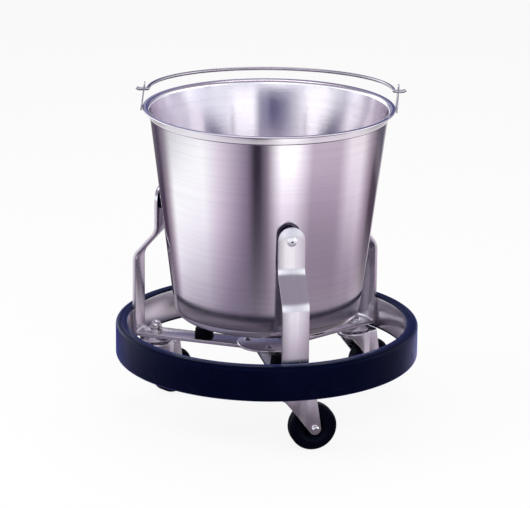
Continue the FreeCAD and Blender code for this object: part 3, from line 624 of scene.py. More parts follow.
faded = blend(tree, 1.0, round_ramp(tree, spot, CARD_SHADES), distance_ramp(CARD_FADE), "MULTIPLY")
near = blend(tree, 1.0, round_ramp(tree, spot, NEAR_SHADES), distance_ramp(NEAR_DEPTH), "MULTIPLY")
greys = blend(tree, distance_ramp(FAR_START), near, round_ramp(tree, spot, FAR_SHADES))
color = blend(tree, distance_ramp(GREY_SHARE), faded, greys)
surface = add_node(tree, "Emission", {"Color": color}).outputs[0]
add_node(tree, "OutputMaterial", {"Surface": surface})
cards.data.materials.append(card_paper)
for ray in ("camera", "diffuse", "shadow", "transmission"):
    setattr(cards, f"visible_{ray}", False)
print("cards reach from", CARDS_INNER, "to", CARDS_OUTER, "m")

# %% [markdown]
# ## Patterns that finishes share
#
# A finish is more than a colour. Metal that was turned in a lathe carries rings, bar stock carries
# lines along its length, everything that is handled has smears, and rubber and vinyl carry fine
# scratches and a little dust. Each of these is a node group, built once, which gives a height for the
# bump or a mask, and each finish mixes them in its own strengths.
#
# ### Turning marks
#
# A spun pail is polished on the lathe, so its marks are rings about its axis, on the wall as on the
# floor. The ring's number is the distance from the axis plus the height: that grows steadily along the
# wall and across the floor, so one formula serves both. A slow change round the pail keeps the rings
# from looking printed.

# %% Turning marks
RINGS_PER_METRE = 900.0
SLOW_CHANGE = 5.0


def new_group(name, numbers, outputs):
    """A shader node group with a Vector and numbers as inputs; gives it and its two ends."""
    group = bpy.data.node_groups.new(name, "ShaderNodeTree")
    group.interface.new_socket(name="Vector", in_out="INPUT", socket_type="NodeSocketVector")
    for label, value in numbers.items():
        socket = group.interface.new_socket(name=label, in_out="INPUT", socket_type="NodeSocketFloat")
        socket.default_value = value
    for label in outputs:
        group.interface.new_socket(name=label, in_out="OUTPUT", socket_type="NodeSocketFloat")
    entry = group.nodes.new("NodeGroupInput")
    result = group.nodes.new("NodeGroupOutput")
    return group, entry.outputs, result.inputs


marks, given, gives = new_group("turning_marks", {}, ["Height", "Streak"])
place = add_node(marks, "SeparateXYZ", {0: given["Vector"]}).outputs
squares = [calculate(marks, "MULTIPLY", place[axis], place[axis]) for axis in "XY"]
from_axis = calculate(marks, "SQRT", calculate(marks, "ADD", *squares))
along = calculate(marks, "ADD", from_axis, place["Z"])
sockets = {axis: calculate(marks, "MULTIPLY", place[axis], SLOW_CHANGE) for axis in "XY"}
sockets["Z"] = calculate(marks, "MULTIPLY", along, RINGS_PER_METRE)
rings = add_node(marks, "CombineXYZ", sockets).outputs[0]
put(marks, gives["Height"], noise(marks, rings, scale=1.0, detail=3.0, roughness=0.6))
broad = noise(marks, rings, scale=0.13, detail=3.0, roughness=0.7)
put(marks, gives["Streak"], ranged(marks, broad, 0.3, 0.7))

# %% [markdown]
# ### Bar grain
#
# Flat bar is ground on a belt, which leaves straight lines along it. Each arm keeps the places its
# points had before it was turned to its side, in an attribute, so the lines follow every bend of the
# bar and run the same way on all three arms.

# %% Bar grain
FINE_LINES = (9.0, 1500.0, 9.0)
BROAD_LINES = (5.0, 260.0, 5.0)

grain, given, gives = new_group("bar_grain", {}, ["Height", "Streak"])
fine = stretched(grain, given["Vector"], FINE_LINES)
put(grain, gives["Height"], noise(grain, fine, scale=1.0))
broad = noise(grain, stretched(grain, given["Vector"], BROAD_LINES), scale=1.0, detail=3.0, roughness=0.6)
put(grain, gives["Streak"], ranged(grain, broad, 0.3, 0.7))

# %% [markdown]
# ### Smears, scratches and dust
#
# Smears are broad and soft and mostly change the gloss. Scratches are thin lines in all directions:
# the borders between stretched cells make them, and a second noise breaks them off. Dust lies only on
# what faces up, so its mask reads the surface's direction.

# %% Smears
smears, given, gives = new_group("smears", {"Size": 12.0}, ["Mask"])
soft = noise(smears, resized(smears, given["Vector"], given["Size"]), scale=1.0, detail=4.0, roughness=0.55)
put(smears, gives["Mask"], ranged(smears, soft, 0.35, 0.7))

# %% Scratches
SCRATCH_WIDTH = 0.012
SCRATCH_TILTS = ((1.0, 0.16, 0.35), (0.2, 1.0, 0.6))

scratches, given, gives = new_group("scratches", {"Size": 60.0, "Amount": 0.5}, ["Mask"])
scaled = resized(scratches, given["Vector"], given["Size"])
borders = []
for tilt in SCRATCH_TILTS:
    sockets = {"Vector": stretched(scratches, scaled, tilt), "Scale": 1.0}
    cells = add_node(scratches, "TexVoronoi", sockets, feature="DISTANCE_TO_EDGE")
    borders.append(ranged(scratches, cells.outputs["Distance"], 0.0, SCRATCH_WIDTH, 1.0, 0.0))
patchy = ranged(scratches, noise(scratches, scaled, scale=0.7), 0.5, 0.62)
shown = calculate(scratches, "MULTIPLY", calculate(scratches, "MAXIMUM", *borders), patchy)
put(scratches, gives["Mask"], calculate(scratches, "MULTIPLY", shown, given["Amount"]))

# %% Dust
DRIFT_SHARE = 0.4

dust, given, gives = new_group("dust", {"Amount": 0.3}, ["Mask"])
normal = add_node(dust, "NewGeometry").outputs["Normal"]
upwards = ranged(dust, add_node(dust, "SeparateXYZ", {0: normal}).outputs["Z"], 0.2, 0.95, 0.15, 1.0)
specks = ranged(dust, noise(dust, given["Vector"], scale=420.0, detail=3.0, roughness=0.7), 0.55, 0.8)
drift = ranged(dust, noise(dust, given["Vector"], scale=22.0, detail=3.0), 0.35, 0.75)
lying = calculate(dust, "ADD", specks, calculate(dust, "MULTIPLY", drift, DRIFT_SHARE))
shown = calculate(dust, "MULTIPLY", upwards, lying)
put(dust, gives["Mask"], calculate(dust, "MULTIPLY", shown, given["Amount"]))

# %% [markdown]
# ## Finishes
#
# There is one finish for each material slot of the model. Each starts from the Principled shader with
# its fixed values on the shader's own sockets, and the groups change colour, roughness and bump.

# %% Tools for finishes
finish = {}


def new_finish(name, values):
    """A material, its tree and the sockets of its shader, with the fixed values set."""
    material = bpy.data.materials.new(name)
    material.use_nodes = True
    tree = material.node_tree
    shader = next(node for node in tree.nodes if node.type == "BSDF_PRINCIPLED").inputs
    for label, value in values.items():
        shader[label].default_value = value
    return material, tree, shader


def object_place(tree):
    """The place of a point in its piece."""
    return add_node(tree, "TexCoord").outputs["Object"]


def attribute(tree, name, output="Fac"):
    """What a piece's own points or faces carry under a name."""
    return add_node(tree, "Attribute", attribute_name=name).outputs[output]


def use_group(tree, group, vector, **values):
    """The outputs of a pattern laid over a vector."""
    return add_node(tree, "Group", {"Vector": vector, **values}, node_tree=group).outputs


def bump(tree, shader, height, strength, distance=0.0002):
    """Let a height tilt the shader's normal."""
    sockets = {"Height": height, "Strength": strength, "Distance": distance}
    put(tree, shader["Normal"], add_node(tree, "Bump", sockets).outputs["Normal"])


def metal(slot, name, light, dark, gloss, smear_size, lines=None, shares=None, own=False, back=None):
    """A metal whose tone and gloss follow its smears and, where it has lines, their streaks."""
    material, tree, shader = new_finish(name, {"Base Color": (*light, 1), "Metallic": 1.0})
    place = attribute(tree, "own_place", "Vector") if own else object_place(tree)
    tone = use_group(tree, smears, place, Size=smear_size)["Mask"]
    if lines:
        lines = use_group(tree, lines, place)
        streaks = calculate(tree, "MULTIPLY", lines["Streak"], shares[0])
        tone = calculate(tree, "ADD", streaks, calculate(tree, "MULTIPLY", tone, shares[1]))
    color = blend(tree, tone, light, dark)
    # back is a painted shade for the faces of an upright that look at the pail
    if back:
        color = blend(tree, attribute(tree, "painted_back_shade"), color, back)
    put(tree, shader["Base Color"], color)
    put(tree, shader["Roughness"], ranged(tree, tone, 0.0, 1.0, *gloss))
    finish[slot] = material
    return tree, shader, place, lines


# %% [markdown]
# ### Metals
#
# Stainless steel has a faint warm and violet cast next to chrome. The pail's shader is anisotropic:
# rings about the axis spread a reflection up and down far more than sideways, which is why a spun
# pail shows upright stripes. A quarter turn of the anisotropy points that spread along the wall.
# The side of an upright that faces the pail gets a painted shade, darker than the rest.

# %% Spun and ground steels
tree, shader, _, rings = metal(
    "pail_steel", "spun_pail_steel", light=(0.82, 0.785, 0.82), dark=(0.68, 0.635, 0.69),
    gloss=(0.09, 0.16), smear_size=11.0, lines=marks, shares=(0.4, 0.25),
)
shader["Anisotropic"].default_value = 0.55
shader["Anisotropic Rotation"].default_value = 0.25
bump(tree, shader, rings["Height"], strength=0.08)

# back: the painted shade on the side of each upright that faces the pail
tree, shader, _, belt = metal(
    "frame_steel", "ground_bar_steel", light=(0.67, 0.635, 0.68), dark=(0.56, 0.525, 0.58),
    gloss=(0.2, 0.32), smear_size=30.0, lines=grain, shares=(0.28, 0.3), own=True, back=(0.22, 0.2, 0.27),
)
bump(tree, shader, belt["Height"], strength=0.08)

tree, shader, place, _ = metal(
    "bail_steel", "drawn_wire_steel", light=(0.46, 0.43, 0.48), dark=(0.34, 0.31, 0.36),
    gloss=(0.16, 0.3), smear_size=40.0,
)
bump(tree, shader, noise(tree, place, scale=900.0), strength=0.06)

# %% Plated steels
tree, shader, place, _ = metal(
    "caster_steel", "plated_stamping", light=(0.74, 0.70, 0.75), dark=(0.60, 0.56, 0.63),
    gloss=(0.22, 0.34), smear_size=55.0,
)
scratch = use_group(tree, scratches, place, Size=160.0, Amount=0.6)["Mask"]
pitted = calculate(tree, "SUBTRACT", noise(tree, place, scale=700.0, detail=3.0), scratch)
bump(tree, shader, pitted, strength=0.1)

tree, shader, place, _ = metal(
    "fastener_steel", "polished_fastener", light=(0.82, 0.79, 0.82), dark=(0.62, 0.58, 0.64),
    gloss=(0.1, 0.26), smear_size=90.0,
)
bump(tree, shader, noise(tree, place, scale=1200.0), strength=0.05, distance=0.0001)

# %% [markdown]
# ### Aluminium
#
# Blind rivets are of aluminium, which is paler and duller than plated steel. The hole that the pin
# leaves is too small for light to find its way out, so an attribute on the rivet darkens it.

# %% A softer metal for the blind rivets
RIVET_METAL = (0.88, 0.86, 0.89)
RIVET_HOLE = (0.02, 0.02, 0.03)

rivet_finish, tree, shader = new_finish("rivet_aluminium", {"Roughness": 0.5, "Metallic": 1.0})
put(tree, shader["Base Color"], blend(tree, attribute(tree, "recess"), RIVET_METAL, RIVET_HOLE))
dents = noise(tree, attribute(tree, "own_place", "Vector"), scale=900.0)
bump(tree, shader, dents, strength=0.08, distance=0.0001)

# %% [markdown]
# ### Vinyl and rubber
#
# The hoop is soft vinyl in navy, with a low sheen and small scuffs. The rubber pieces are darker and
# duller, and dust shows on them first.

# %% Vinyl, rubber and the moulded wheel
SOFT_IOR = 1.32
SOFT_SPECULAR = 0.14
VINYL_TINT = (0.12, 0.3, 1.0)
RUBBER_TINT = (0.45, 0.5, 0.85)
VINYL_SHEEN = {"Sheen Weight": 0.5, "Sheen Roughness": 0.3, "Sheen Tint": (0.06, 0.14, 0.9, 1)}
SMEARED = 0.6
# name, colour, colour of its dust and tint of its gloss, then the numbers for
# roughness, grain size, grit, dust and scratches
SOFT_FINISHES = {
    "bumper_vinyl": (
        "navy_vinyl", (0.0016, 0.002, 0.0125), (0.05, 0.07, 0.16), VINYL_TINT,
        (0.2, 260.0, 0.05, 0.01, 0.05),
    ),
    "button_rubber": (
        "navy_rubber", (0.002, 0.003, 0.018), (0.03, 0.035, 0.06), VINYL_TINT,
        (0.42, 500.0, 0.15, 0.03, 0.03),
    ),
    "pad_rubber": (
        "black_rubber", (0.0015, 0.0015, 0.003), (0.03, 0.03, 0.035), RUBBER_TINT,
        (0.5, 500.0, 0.2, 0.03, 0.03),
    ),
    "tyre_rubber": (
        "wheel_rubber", (0.0015, 0.002, 0.006), (0.025, 0.025, 0.04), RUBBER_TINT,
        (0.36, 600.0, 0.12, 0.03, 0.08),
    ),
    "wheel_core": (
        "moulded_wheel", (0.0018, 0.002, 0.005), (0.025, 0.025, 0.035), RUBBER_TINT,
        (0.36, 800.0, 0.08, 0.03, 0.06),
    ),
}
for slot, (name, color, dusty, tint, numbers) in SOFT_FINISHES.items():
    roughness, grain_size, grit, dust_amount, scratch_amount = numbers
    values = {"IOR": SOFT_IOR, "Specular IOR Level": SOFT_SPECULAR, "Specular Tint": (*tint, 1)}
    if slot == "bumper_vinyl":
        values.update(VINYL_SHEEN)
    finish[slot], tree, shader = new_finish(name, values)
    place = object_place(tree)
    smear = use_group(tree, smears, place, Size=24.0)["Mask"]
    scratch = use_group(tree, scratches, place, Size=45.0, Amount=scratch_amount)["Mask"]
    pale = calculate(tree, "ADD", scratch, use_group(tree, dust, place, Amount=dust_amount)["Mask"])
    ground = blend(tree, smear, color, tuple(part * SMEARED for part in color))
    put(tree, shader["Base Color"], blend(tree, pale, ground, dusty))
    dull = calculate(tree, "ADD", smear, pale)
    put(tree, shader["Roughness"], ranged(tree, dull, 0.0, 1.2, roughness - 0.06, roughness + 0.2))
    bump(tree, shader, noise(tree, place, grain_size, detail=3.0), grit, distance=0.0003)
print("finishes:", sorted(finish))

# %% [markdown]
# ## Handing a piece to the model
#
# A finished piece takes its body, its material slot and its finish from the node that it stands for,
# so one short call does all of it.

# %% Dress a node
bodies = frame["record"]["behaviour"]["bodies"]
body_of = {member: body for body, members in bodies.items() for member in members}
slot_of = {part["node"]: part["material_slot"] for part in frame["record"]["subparts"]}


def keep_place(piece):
    """Store where each point of a piece is now, for patterns that follow the piece."""
    kept = piece.data.attributes.new("own_place", "FLOAT_VECTOR", "POINT")
    for vertex, entry in zip(piece.data.vertices, kept.data):
        entry.vector = vertex.co


def mark(piece, name, domain, parts, test):
    """Store a 1 for each point or face that passes the test and a 0 for the others."""
    marked = piece.data.attributes.new(name, "FLOAT", domain)
    for part, entry in zip(parts, marked.data):
        entry.value = 1.0 if test(part) else 0.0


def dress(piece, node):
    """Let a piece stand for a node, ride on the node's body and take its finish."""
    hold(piece)
    piece.name = f"{node}_dressed"
    piece.data.materials.clear()
    piece.data.materials.append(finish[slot_of[node]])
    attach(piece, body_of[node])
    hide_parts(node)
    print(f"{node}: {len(piece.data.polygons)} faces")


def dress_sides(name, model, place_of):
    """Copy a piece once for each side, set it down there and dress that side's node."""
    for side in SIDES:
        piece = copy_of(model)
        set_down(piece, place_of(side))
        dress(piece, f"{name}_{side}")
    drop(model)


# %% [markdown]
# ## The pail
#
# The pail is spun from one disc of sheet: a panelled floor, a rounded foot, a wall that opens towards
# the top, an upright band a little wider than the wall, and a flat lip whose edge is folded under so
# that it doesn't cut. Both faces of the sheet are drawn as one line from axis to axis, because the
# fold is too tight for an even offset, and the line is then spun once about the axis. Normals weighted
# by area keep the long wall straight in its reflections, next to the small rounds.

# %% Measure the pail
SHEET = 0.001
PANEL_RADIUS = 0.078
PANEL_RISE = 0.0016
FOOT_ROUND = 0.014
WALL_ANGLE = math.radians(7.05)
RIM_LIP = 0.0036
RIM_CURVE = 0.0052
RIM_HEM = 0.0009
RIM_FOLD = 0.003
BAND_DEPTH = 0.0115
BAND_STEP = 0.0005
CURVE_STEPS = 8

pail_low, pail_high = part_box("pail")
rim_radius, rim_height, pail_bottom = pail_high.x, pail_high.z, pail_low.z
wall_lean = math.tan(WALL_ANGLE)
curve_centre = rim_radius - RIM_LIP
curve_height = rim_height - RIM_CURVE
hem_centre = rim_radius - RIM_HEM
hem_height = rim_height - RIM_HEM
band_foot = rim_height - BAND_DEPTH
band_start = band_foot + BAND_STEP
wall_slack = SHEET / math.cos(WALL_ANGLE)


def arc(centre, height, radius, start, end, steps=CURVE_STEPS):
    """Points on an arc in the (radius, height) plane; angles in degrees from the outward way."""
    turns = [math.radians(start + (end - start) * step / steps) for step in range(steps + 1)]
    return [(centre + radius * math.cos(turn), height + radius * math.sin(turn)) for turn in turns]


bend_start = 180 - math.degrees(WALL_ANGLE)
under = arc(curve_centre, curve_height, RIM_CURVE - SHEET, bend_start, 90)
over = arc(curve_centre, curve_height, RIM_CURVE, 90, bend_start)
hem = arc(hem_centre, hem_height, RIM_HEM, -90, 90)
base_radius = under[0][0] - BAND_STEP - (under[0][1] - pail_bottom) * wall_lean
print("rim at", round(rim_height, 4), "m, foot", round(base_radius, 4), "m in radius")

# %% Spin the pail
def wall_radius(height):
    """Outer radius of the wall, below the band under the rim."""
    return base_radius + (height - pail_bottom) * wall_lean


inside = pail_bottom + SHEET
corners = [
    (0, pail_bottom + PANEL_RISE),
    (PANEL_RADIUS, pail_bottom + PANEL_RISE),
    (PANEL_RADIUS + PANEL_RISE, pail_bottom),
    (base_radius, pail_bottom),
    (wall_radius(band_foot), band_foot),
    (under[0][0], band_start),
    *under,
    (rim_radius - RIM_FOLD, rim_height - SHEET),
    (rim_radius - RIM_FOLD, hem_height - RIM_HEM),
    *hem,
    *over,
]
inner = len(corners)
corners += [
    (wall_radius(inside) - wall_slack, inside),
    (PANEL_RADIUS + PANEL_RISE, inside),
    (PANEL_RADIUS, inside + PANEL_RISE),
    (0, inside + PANEL_RISE),
]
rounds = [
    (3, FOOT_ROUND, 12),
    (2, PANEL_RISE, 3),
    (1, PANEL_RISE, 3),
    (4, BAND_STEP * 2, 4),
    (5, BAND_STEP * 2, 4),
    (inner, FOOT_ROUND - SHEET, 12),
    (inner + 1, PANEL_RISE, 3),
    (inner + 2, PANEL_RISE, 3),
]
pail = turned("pail_shape", corners, rounds, steps=256)
modify(pail, "WEIGHTED_NORMAL", mode="FACE_AREA", weight=100, keep_sharp=True)
dress(pail, "pail")

# %% [markdown]
# ### Ears
#
# Two lugs stand outside the rim and carry the bail. Each is cut from sheet: a broad foot on the rim
# and a narrow round top. The outline is filled to one face, thickened and drilled with a Boolean. Use
# has bent the ears: the left one leans in and the right one leans out a little. They are as dark as
# the wire that rubs in them.

# %% Cut and drill the ears
EAR_SHEET = 0.0016
EAR_HALF = 0.016
EAR_WAY_AND_LEAN = {"ear_right": (1, math.radians(-4)), "ear_left": (-1, math.radians(7.5))}
EAR_TIP = 0.0087
EAR_TIP_TURN = 24
EAR_TIP_STEPS = 16
EAR_HOLE = 0.0025
EAR_DRILL = 0.01
EAR_TAIL = 0.0022
EAR_SHOULDER = 0.0068
FOOT_CORNER = 0.002
SHOULDER_CORNER = 0.006
EAR_EDGE = 0.0003
SEAT = 0.00005

pivot = Vector(joints["bail_swing"]["pos_m"])
tail = hem_height - EAR_TAIL - pivot.z
shoulder = hem_height + EAR_SHOULDER - pivot.z
feet = [(0, -EAR_HALF, tail), (0, EAR_HALF, tail), (0, EAR_HALF, shoulder)]
tip = [(0, y, z) for y, z in arc(0, 0, EAR_TIP, EAR_TIP_TURN, 180 - EAR_TIP_TURN, EAR_TIP_STEPS)]
outline = feet + tip + [(0, -EAR_HALF, shoulder)]
ear = draw("ear", outline, closed=True)
for number, radius in ((0, FOOT_CORNER), (1, FOOT_CORNER), (2, SHOULDER_CORNER), (-1, SHOULDER_CORNER)):
    round_corner(ear, outline[number], radius, 4)
edit(ear, everything=True)
bpy.ops.mesh.edge_face_add()
modify(ear, "SOLIDIFY", thickness=EAR_SHEET, offset=0.0)
hold(None)
across = (0, math.pi / 2, 0)
bpy.ops.mesh.primitive_cylinder_add(vertices=32, radius=EAR_HOLE, depth=EAR_DRILL, rotation=across)
combine(ear, "DIFFERENCE", bpy.context.active_object)
soften(ear, EAR_EDGE)
ear_place = {}
for node, (way, lean) in EAR_WAY_AND_LEAN.items():
    foot = (RIM_HEM + SEAT + EAR_SHEET / 2) / math.cos(lean)
    ear_place[node] = hem_centre + foot - (pivot.z - hem_height) * math.tan(lean)
    piece = copy_of(ear)
    leaning = Matrix.Rotation(-way * lean, 4, "Y")
    set_down(piece, Matrix.Translation((way * ear_place[node], 0, pivot.z)) @ leaning)
    dress(piece, node)
    piece.material_slots[0].material = finish["bail_steel"]
drop(ear)
print("ears at", {node: round(place, 4) for node, place in ear_place.items()})

# %% [markdown]
# ### The bail
#
# The bail is one wire. It is modelled the way a bender makes it: a ring of points is spun along the
# big loop, then round the small knee, pushed straight through the ear, and curled up at its end so
# that it can't slip out. Both ends are worked the same way, and the whole wire is then laid back.

# %% Bend the bail
WIRE = 0.00215
KNEE = 0.0036
KNEE_END = 0.0004
PAST_EAR = 0.0042
CURL = 0.005
CURL_TURN = math.radians(50)
BAIL_DROP = math.radians(2.9)

half_span = (ear_place["ear_right"] + ear_place["ear_left"]) / 2
bail_middle = Vector(((ear_place["ear_right"] - ear_place["ear_left"]) / 2, 0, pivot.z))
reach = half_span - EAR_SHEET / 2 - KNEE_END
loop = reach - KNEE
end = half_span + EAR_SHEET / 2 + PAST_EAR
hold(None)
bpy.ops.mesh.primitive_circle_add(
    vertices=20, radius=WIRE, location=(-loop, KNEE, 0), rotation=(math.pi / 2, 0, 0)
)
bail = take("bail_wire")
edit(bail, everything=True)
bpy.ops.mesh.spin(steps=120, angle=math.pi, center=(0, KNEE, 0), axis=(0, 0, 1))


def bend_end(way):
    """From the selected ring at a knee's start: the knee, the straight through the ear, the curl."""
    bpy.ops.mesh.spin(steps=8, angle=-way * math.pi / 2, center=(way * reach, KNEE, 0), axis=(0, 0, 1))
    push((way * (end - reach), 0, 0))
    bpy.ops.mesh.spin(steps=10, angle=way * CURL_TURN, center=(way * end, 0, CURL), axis=(0, 1, 0))
    bpy.ops.mesh.edge_face_add()
    bpy.ops.mesh.bevel(offset=WIRE / 4, segments=2, affect="EDGES")


bend_end(1)
choose_points(bail, lambda place: place.x < 0 and abs(place.y - KNEE) < SAME)
bend_end(-1)
close_up(bail)
set_down(bail, Matrix.Translation(bail_middle) @ Matrix.Rotation(-BAIL_DROP, 4, "X"))
smooth(bail)
dress(bail, "bail")

# %% [markdown]
# ## The frame
#
# ### Arms
#
# Each arm is one length of flat bar. Seen from the side it is a single line with three bends, so the
# line of its outer face is drawn, its corners are rounded, and it is extruded across to the bar's
# width. The top end is rounded by a vertex bevel as wide as half the bar. Thickness comes last, and a
# small bevel gives the edges the thin bright line that ground bar has.

# %% Bend the arms
BAR_WIDTH = 0.0324
BAR = 0.0042
FOOT_BEND = 0.0035
UPPER_BEND = 0.016
LOWER_BEND_HEIGHT = 0.1865
UPPER_BEND_HEIGHT = 0.2195
ARM_START = 0.011
BAR_EDGE = 0.0006
BEND_STEPS = 8
TIP_SHARE = 0.999
FACES_PAIL = -0.7

arm_under, arm_top_end = span("arm_front", UP)
arm_reach = span("arm_front", front_arm)[1]
upright_inner = span("upright_button_front", front_arm)[1]
upright_outer = upright_inner + BAR
arm_top = arm_under + BAR
half = BAR_WIDTH / 2
route = [
    (ARM_START, -half, arm_under),
    (arm_reach, -half, arm_under),
    (arm_reach, -half, LOWER_BEND_HEIGHT),
    (upright_outer, -half, UPPER_BEND_HEIGHT),
    (upright_outer, -half, arm_top_end),
]
arm = draw("arm", route)
for number, radius in ((1, FOOT_BEND + BAR), (2, UPPER_BEND + BAR), (3, UPPER_BEND)):
    round_corner(arm, route[number], radius, BEND_STEPS)
edit(arm, everything=True)
push((0, BAR_WIDTH, 0))
choose_points(arm, lambda place: place.z > arm_top_end - SAME)
bpy.ops.mesh.bevel(offset=half * TIP_SHARE, segments=12, profile=0.5, affect="VERTICES")
close_up(arm)
outward = sum(face.normal.x for face in arm.data.polygons if face.center.z > UPPER_BEND_HEIGHT)
modify(arm, "SOLIDIFY", thickness=BAR, offset=-1.0 if outward > 0 else 1.0, use_even_offset=True)
soften(arm, BAR_EDGE)
keep_place(arm)
# the faces that look at the pail above the lower bend carry the painted shade
mark(
    arm, "painted_back_shade", "FACE", arm.data.polygons,
    lambda face: face.normal.x < FACES_PAIL and face.center.z > LOWER_BEND_HEIGHT,
)
dress_sides("arm", arm, lambda side: turn_about_z(arm_turn[side]))

# %% [markdown]
# ### Hub plate, band and bumper
#
# The plate ties the three arms together under the pail. The band is a rolled hoop of strip, and the
# vinyl bumper is a channel pushed over it: it has a lip above and below the band, softly rounded
# outer edges and a shallow groove round its top.

# %% Turn the plate and the band
HUB_EDGE = 0.001
HUB_ROUND = 0.0004
BAND = 0.003
BAND_ROUND = 0.0005
HOOP_STEPS = 192

hub_low, hub_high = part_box("hub_plate")
outline = [
    (0, hub_low.z),
    (hub_high.x, hub_low.z),
    (hub_high.x, hub_high.z - HUB_EDGE),
    (hub_high.x - HUB_EDGE, hub_high.z),
    (0, hub_high.z),
]
plate = turned("hub_plate_shape", outline, [(number, HUB_ROUND, 2) for number in (1, 3, 2)])
keep_place(plate)
dress(plate, "hub_plate")

band_low, band_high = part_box("ring_band")
band_inner = band_high.x - BAND
outline = [(band_inner, band_low.z), (band_high.x, band_low.z), (band_high.x, band_high.z)]
outline.append((band_inner, band_high.z))
rounds = [(0, BAND_ROUND, 2), (3, BAND_ROUND, 2)]
band = turned("ring_band_shape", outline, rounds, closed=True, steps=HOOP_STEPS)
dress(band, "ring_band")

# %% Turn the bumper
BUMPER_ROUND = 0.0045
LIP_ROUND = 0.001
CHANNEL_ROUND = 0.0006
LIP_GROOVE = 0.0007
GROOVE_IN = 0.0062

bumper_low, bumper_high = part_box("bumper")
groove_place = bumper_high.x - GROOVE_IN
lip_high = band_high.z + SEAT
lip_low = band_low.z - SEAT
back = band_high.x + SEAT
outline = [
    (band_inner, bumper_low.z),
    (bumper_high.x, bumper_low.z),
    (bumper_high.x, bumper_high.z),
    (groove_place + LIP_GROOVE, bumper_high.z),
    (groove_place, bumper_high.z - LIP_GROOVE),
    (groove_place - LIP_GROOVE, bumper_high.z),
    (band_inner, bumper_high.z),
    (band_inner, lip_high),
    (back, lip_high),
    (back, lip_low),
    (band_inner, lip_low),
]
rounds = [(0, LIP_ROUND, 3), (1, BUMPER_ROUND, 8), (2, BUMPER_ROUND, 8)]
rounds += [(6, LIP_ROUND, 3), (7, CHANNEL_ROUND, 2)]
bumper = turned("bumper_shape", outline, rounds, closed=True, steps=HOOP_STEPS)
dress(bumper, "bumper")

# %% [markdown]
# ### Rubber buttons, pads and their fasteners
#
# A button on each upright holds the tapered wall, and a pad on each arm stops the pail from below.
# Both are short tapered rubber mouldings with a rounded tip. A blind rivet holds the button: its
# flange shows on the upright as a dome with a small dark hole where its pin broke off.

# %% Turn the rubber pieces
# radius at the foot, radius at the tip, rounding of the tip
BUTTON = (0.012, 0.0105, 0.0028)
PAD = (0.0122, 0.0108, 0.002)
RUBBER_EDGE = 0.0005
RUBBER_STEPS = 48
RIVET_SHANK = 0.0024
RIVET_GRIP = 0.007
SCREW_SHANK = 0.002
SCREW_DEPTH = 0.008

button_thickness = upright_inner - span("upright_button_front", front_arm)[0]
button_height = arm_top_end - half
pad_place = span("arm_pad_front", front_arm)[1] - PAD[0]
pad_thickness = span("arm_pad_front", UP)[1] - arm_top


def rubber(name, sizes, thickness, shank, depth):
    """A tapered rubber with a blind hole for its fastener."""
    base, tip, tip_round = sizes
    bore = shank + SEAT
    outline = [(0, depth), (bore, depth), (bore, 0), (base, 0), (tip, thickness), (0, thickness)]
    return turned(name, outline, [(4, tip_round, 6), (3, RUBBER_EDGE, 2)], steps=RUBBER_STEPS)


def facing_pail(side):
    """Place for a piece on an upright: its own Z axis points at the pail."""
    spot = towards(arm_turn[side]) * upright_inner + UP * button_height
    return turn_about_z(arm_turn[side], spot) @ Matrix.Rotation(-math.pi / 2, 4, "Y")


button = rubber("button_shape", BUTTON, button_thickness, RIVET_SHANK, RIVET_GRIP + SEAT)
dress_sides("upright_button", button, facing_pail)
pad = rubber("pad_shape", PAD, pad_thickness, SCREW_SHANK, SCREW_DEPTH + SEAT)
dress_sides("arm_pad", pad, on_arm(pad_place, arm_top))

# %% Turn the blind rivets
FLANGE = 0.0064
FLANGE_RISE = 0.0032
FLANGE_ROUND = 0.0003
COLLAR = 0.0014
CAP = 0.0059
MANDREL = 0.0014
HOLE_EDGE = 0.94
HOLE_SIDE = 0.95
HOLE_FLOOR = 0.9
HOLE_DEPTH = 0.0003


def dome(radius, rise, base, steps=8, hole=0.0):
    """(radius, height) points of a round cap from its rim to its middle or to a hole."""
    ball = (radius * radius + rise * rise) / (2 * rise)
    middle = base + rise - ball
    start = math.acos(radius / ball) if ball > radius else 0.0
    stop = math.acos(hole / ball)
    turns = [start + (stop - start) * step / steps for step in range(steps + 1)]
    return [(ball * math.cos(turn), middle + ball * math.sin(turn)) for turn in turns]


cap = dome(CAP, FLANGE_RISE - COLLAR, BAR + COLLAR, hole=MANDREL)
outline = [(0, -RIVET_GRIP), (RIVET_SHANK, -RIVET_GRIP), (RIVET_SHANK, BAR), (FLANGE, BAR)]
outline += [(FLANGE, BAR + COLLAR), (CAP, BAR + COLLAR), *cap[1:]]
outline += [(MANDREL * HOLE_EDGE, cap[-1][1] - HOLE_DEPTH), (MANDREL * HOLE_FLOOR, BAR), (0, BAR)]
rivet = turned("blind_rivet", outline, [(4, FLANGE_ROUND, 2)], steps=40)
mark(
    rivet, "recess", "POINT", rivet.data.vertices,
    lambda vertex: math.hypot(vertex.co.x, vertex.co.y) < MANDREL * HOLE_SIDE and vertex.co.z > BAR - SAME,
)
keep_place(rivet)
outside = Matrix.Rotation(math.pi, 4, "X")
dress_sides("upright_rivet", rivet, lambda side: facing_pail(side) @ outside)
for side in SIDES:
    bpy.data.objects[f"upright_rivet_{side}_dressed"].material_slots[0].material = rivet_finish

# %% Turn the hub rivets and the screws
HUB_HEAD = 0.005
HUB_SHANK = 0.0025
HUB_HEAD_ROUND = 0.0004
SCREW_HEAD = 0.004
SCREW_HEAD_ROUND = 0.0012
SOCKET = 0.0016
SOCKET_DEPTH = 0.003

hub_rivet_low, hub_rivet_high = span("hub_rivet_front", UP)
hub_rivet_place = span("hub_rivet_front", front_arm)[1] - HUB_HEAD
outline = [(0, hub_rivet_low), (HUB_HEAD, hub_rivet_low), (HUB_HEAD, arm_under), (HUB_SHANK, arm_under)]
outline += [(HUB_SHANK, hub_high.z), *dome(HUB_HEAD, hub_rivet_high - hub_high.z, hub_high.z)]
hub_rivet = turned("hub_rivet_shape", outline, [(1, HUB_HEAD_ROUND, 2)], steps=32)
dress_sides("hub_rivet", hub_rivet, on_arm(hub_rivet_place, 0))

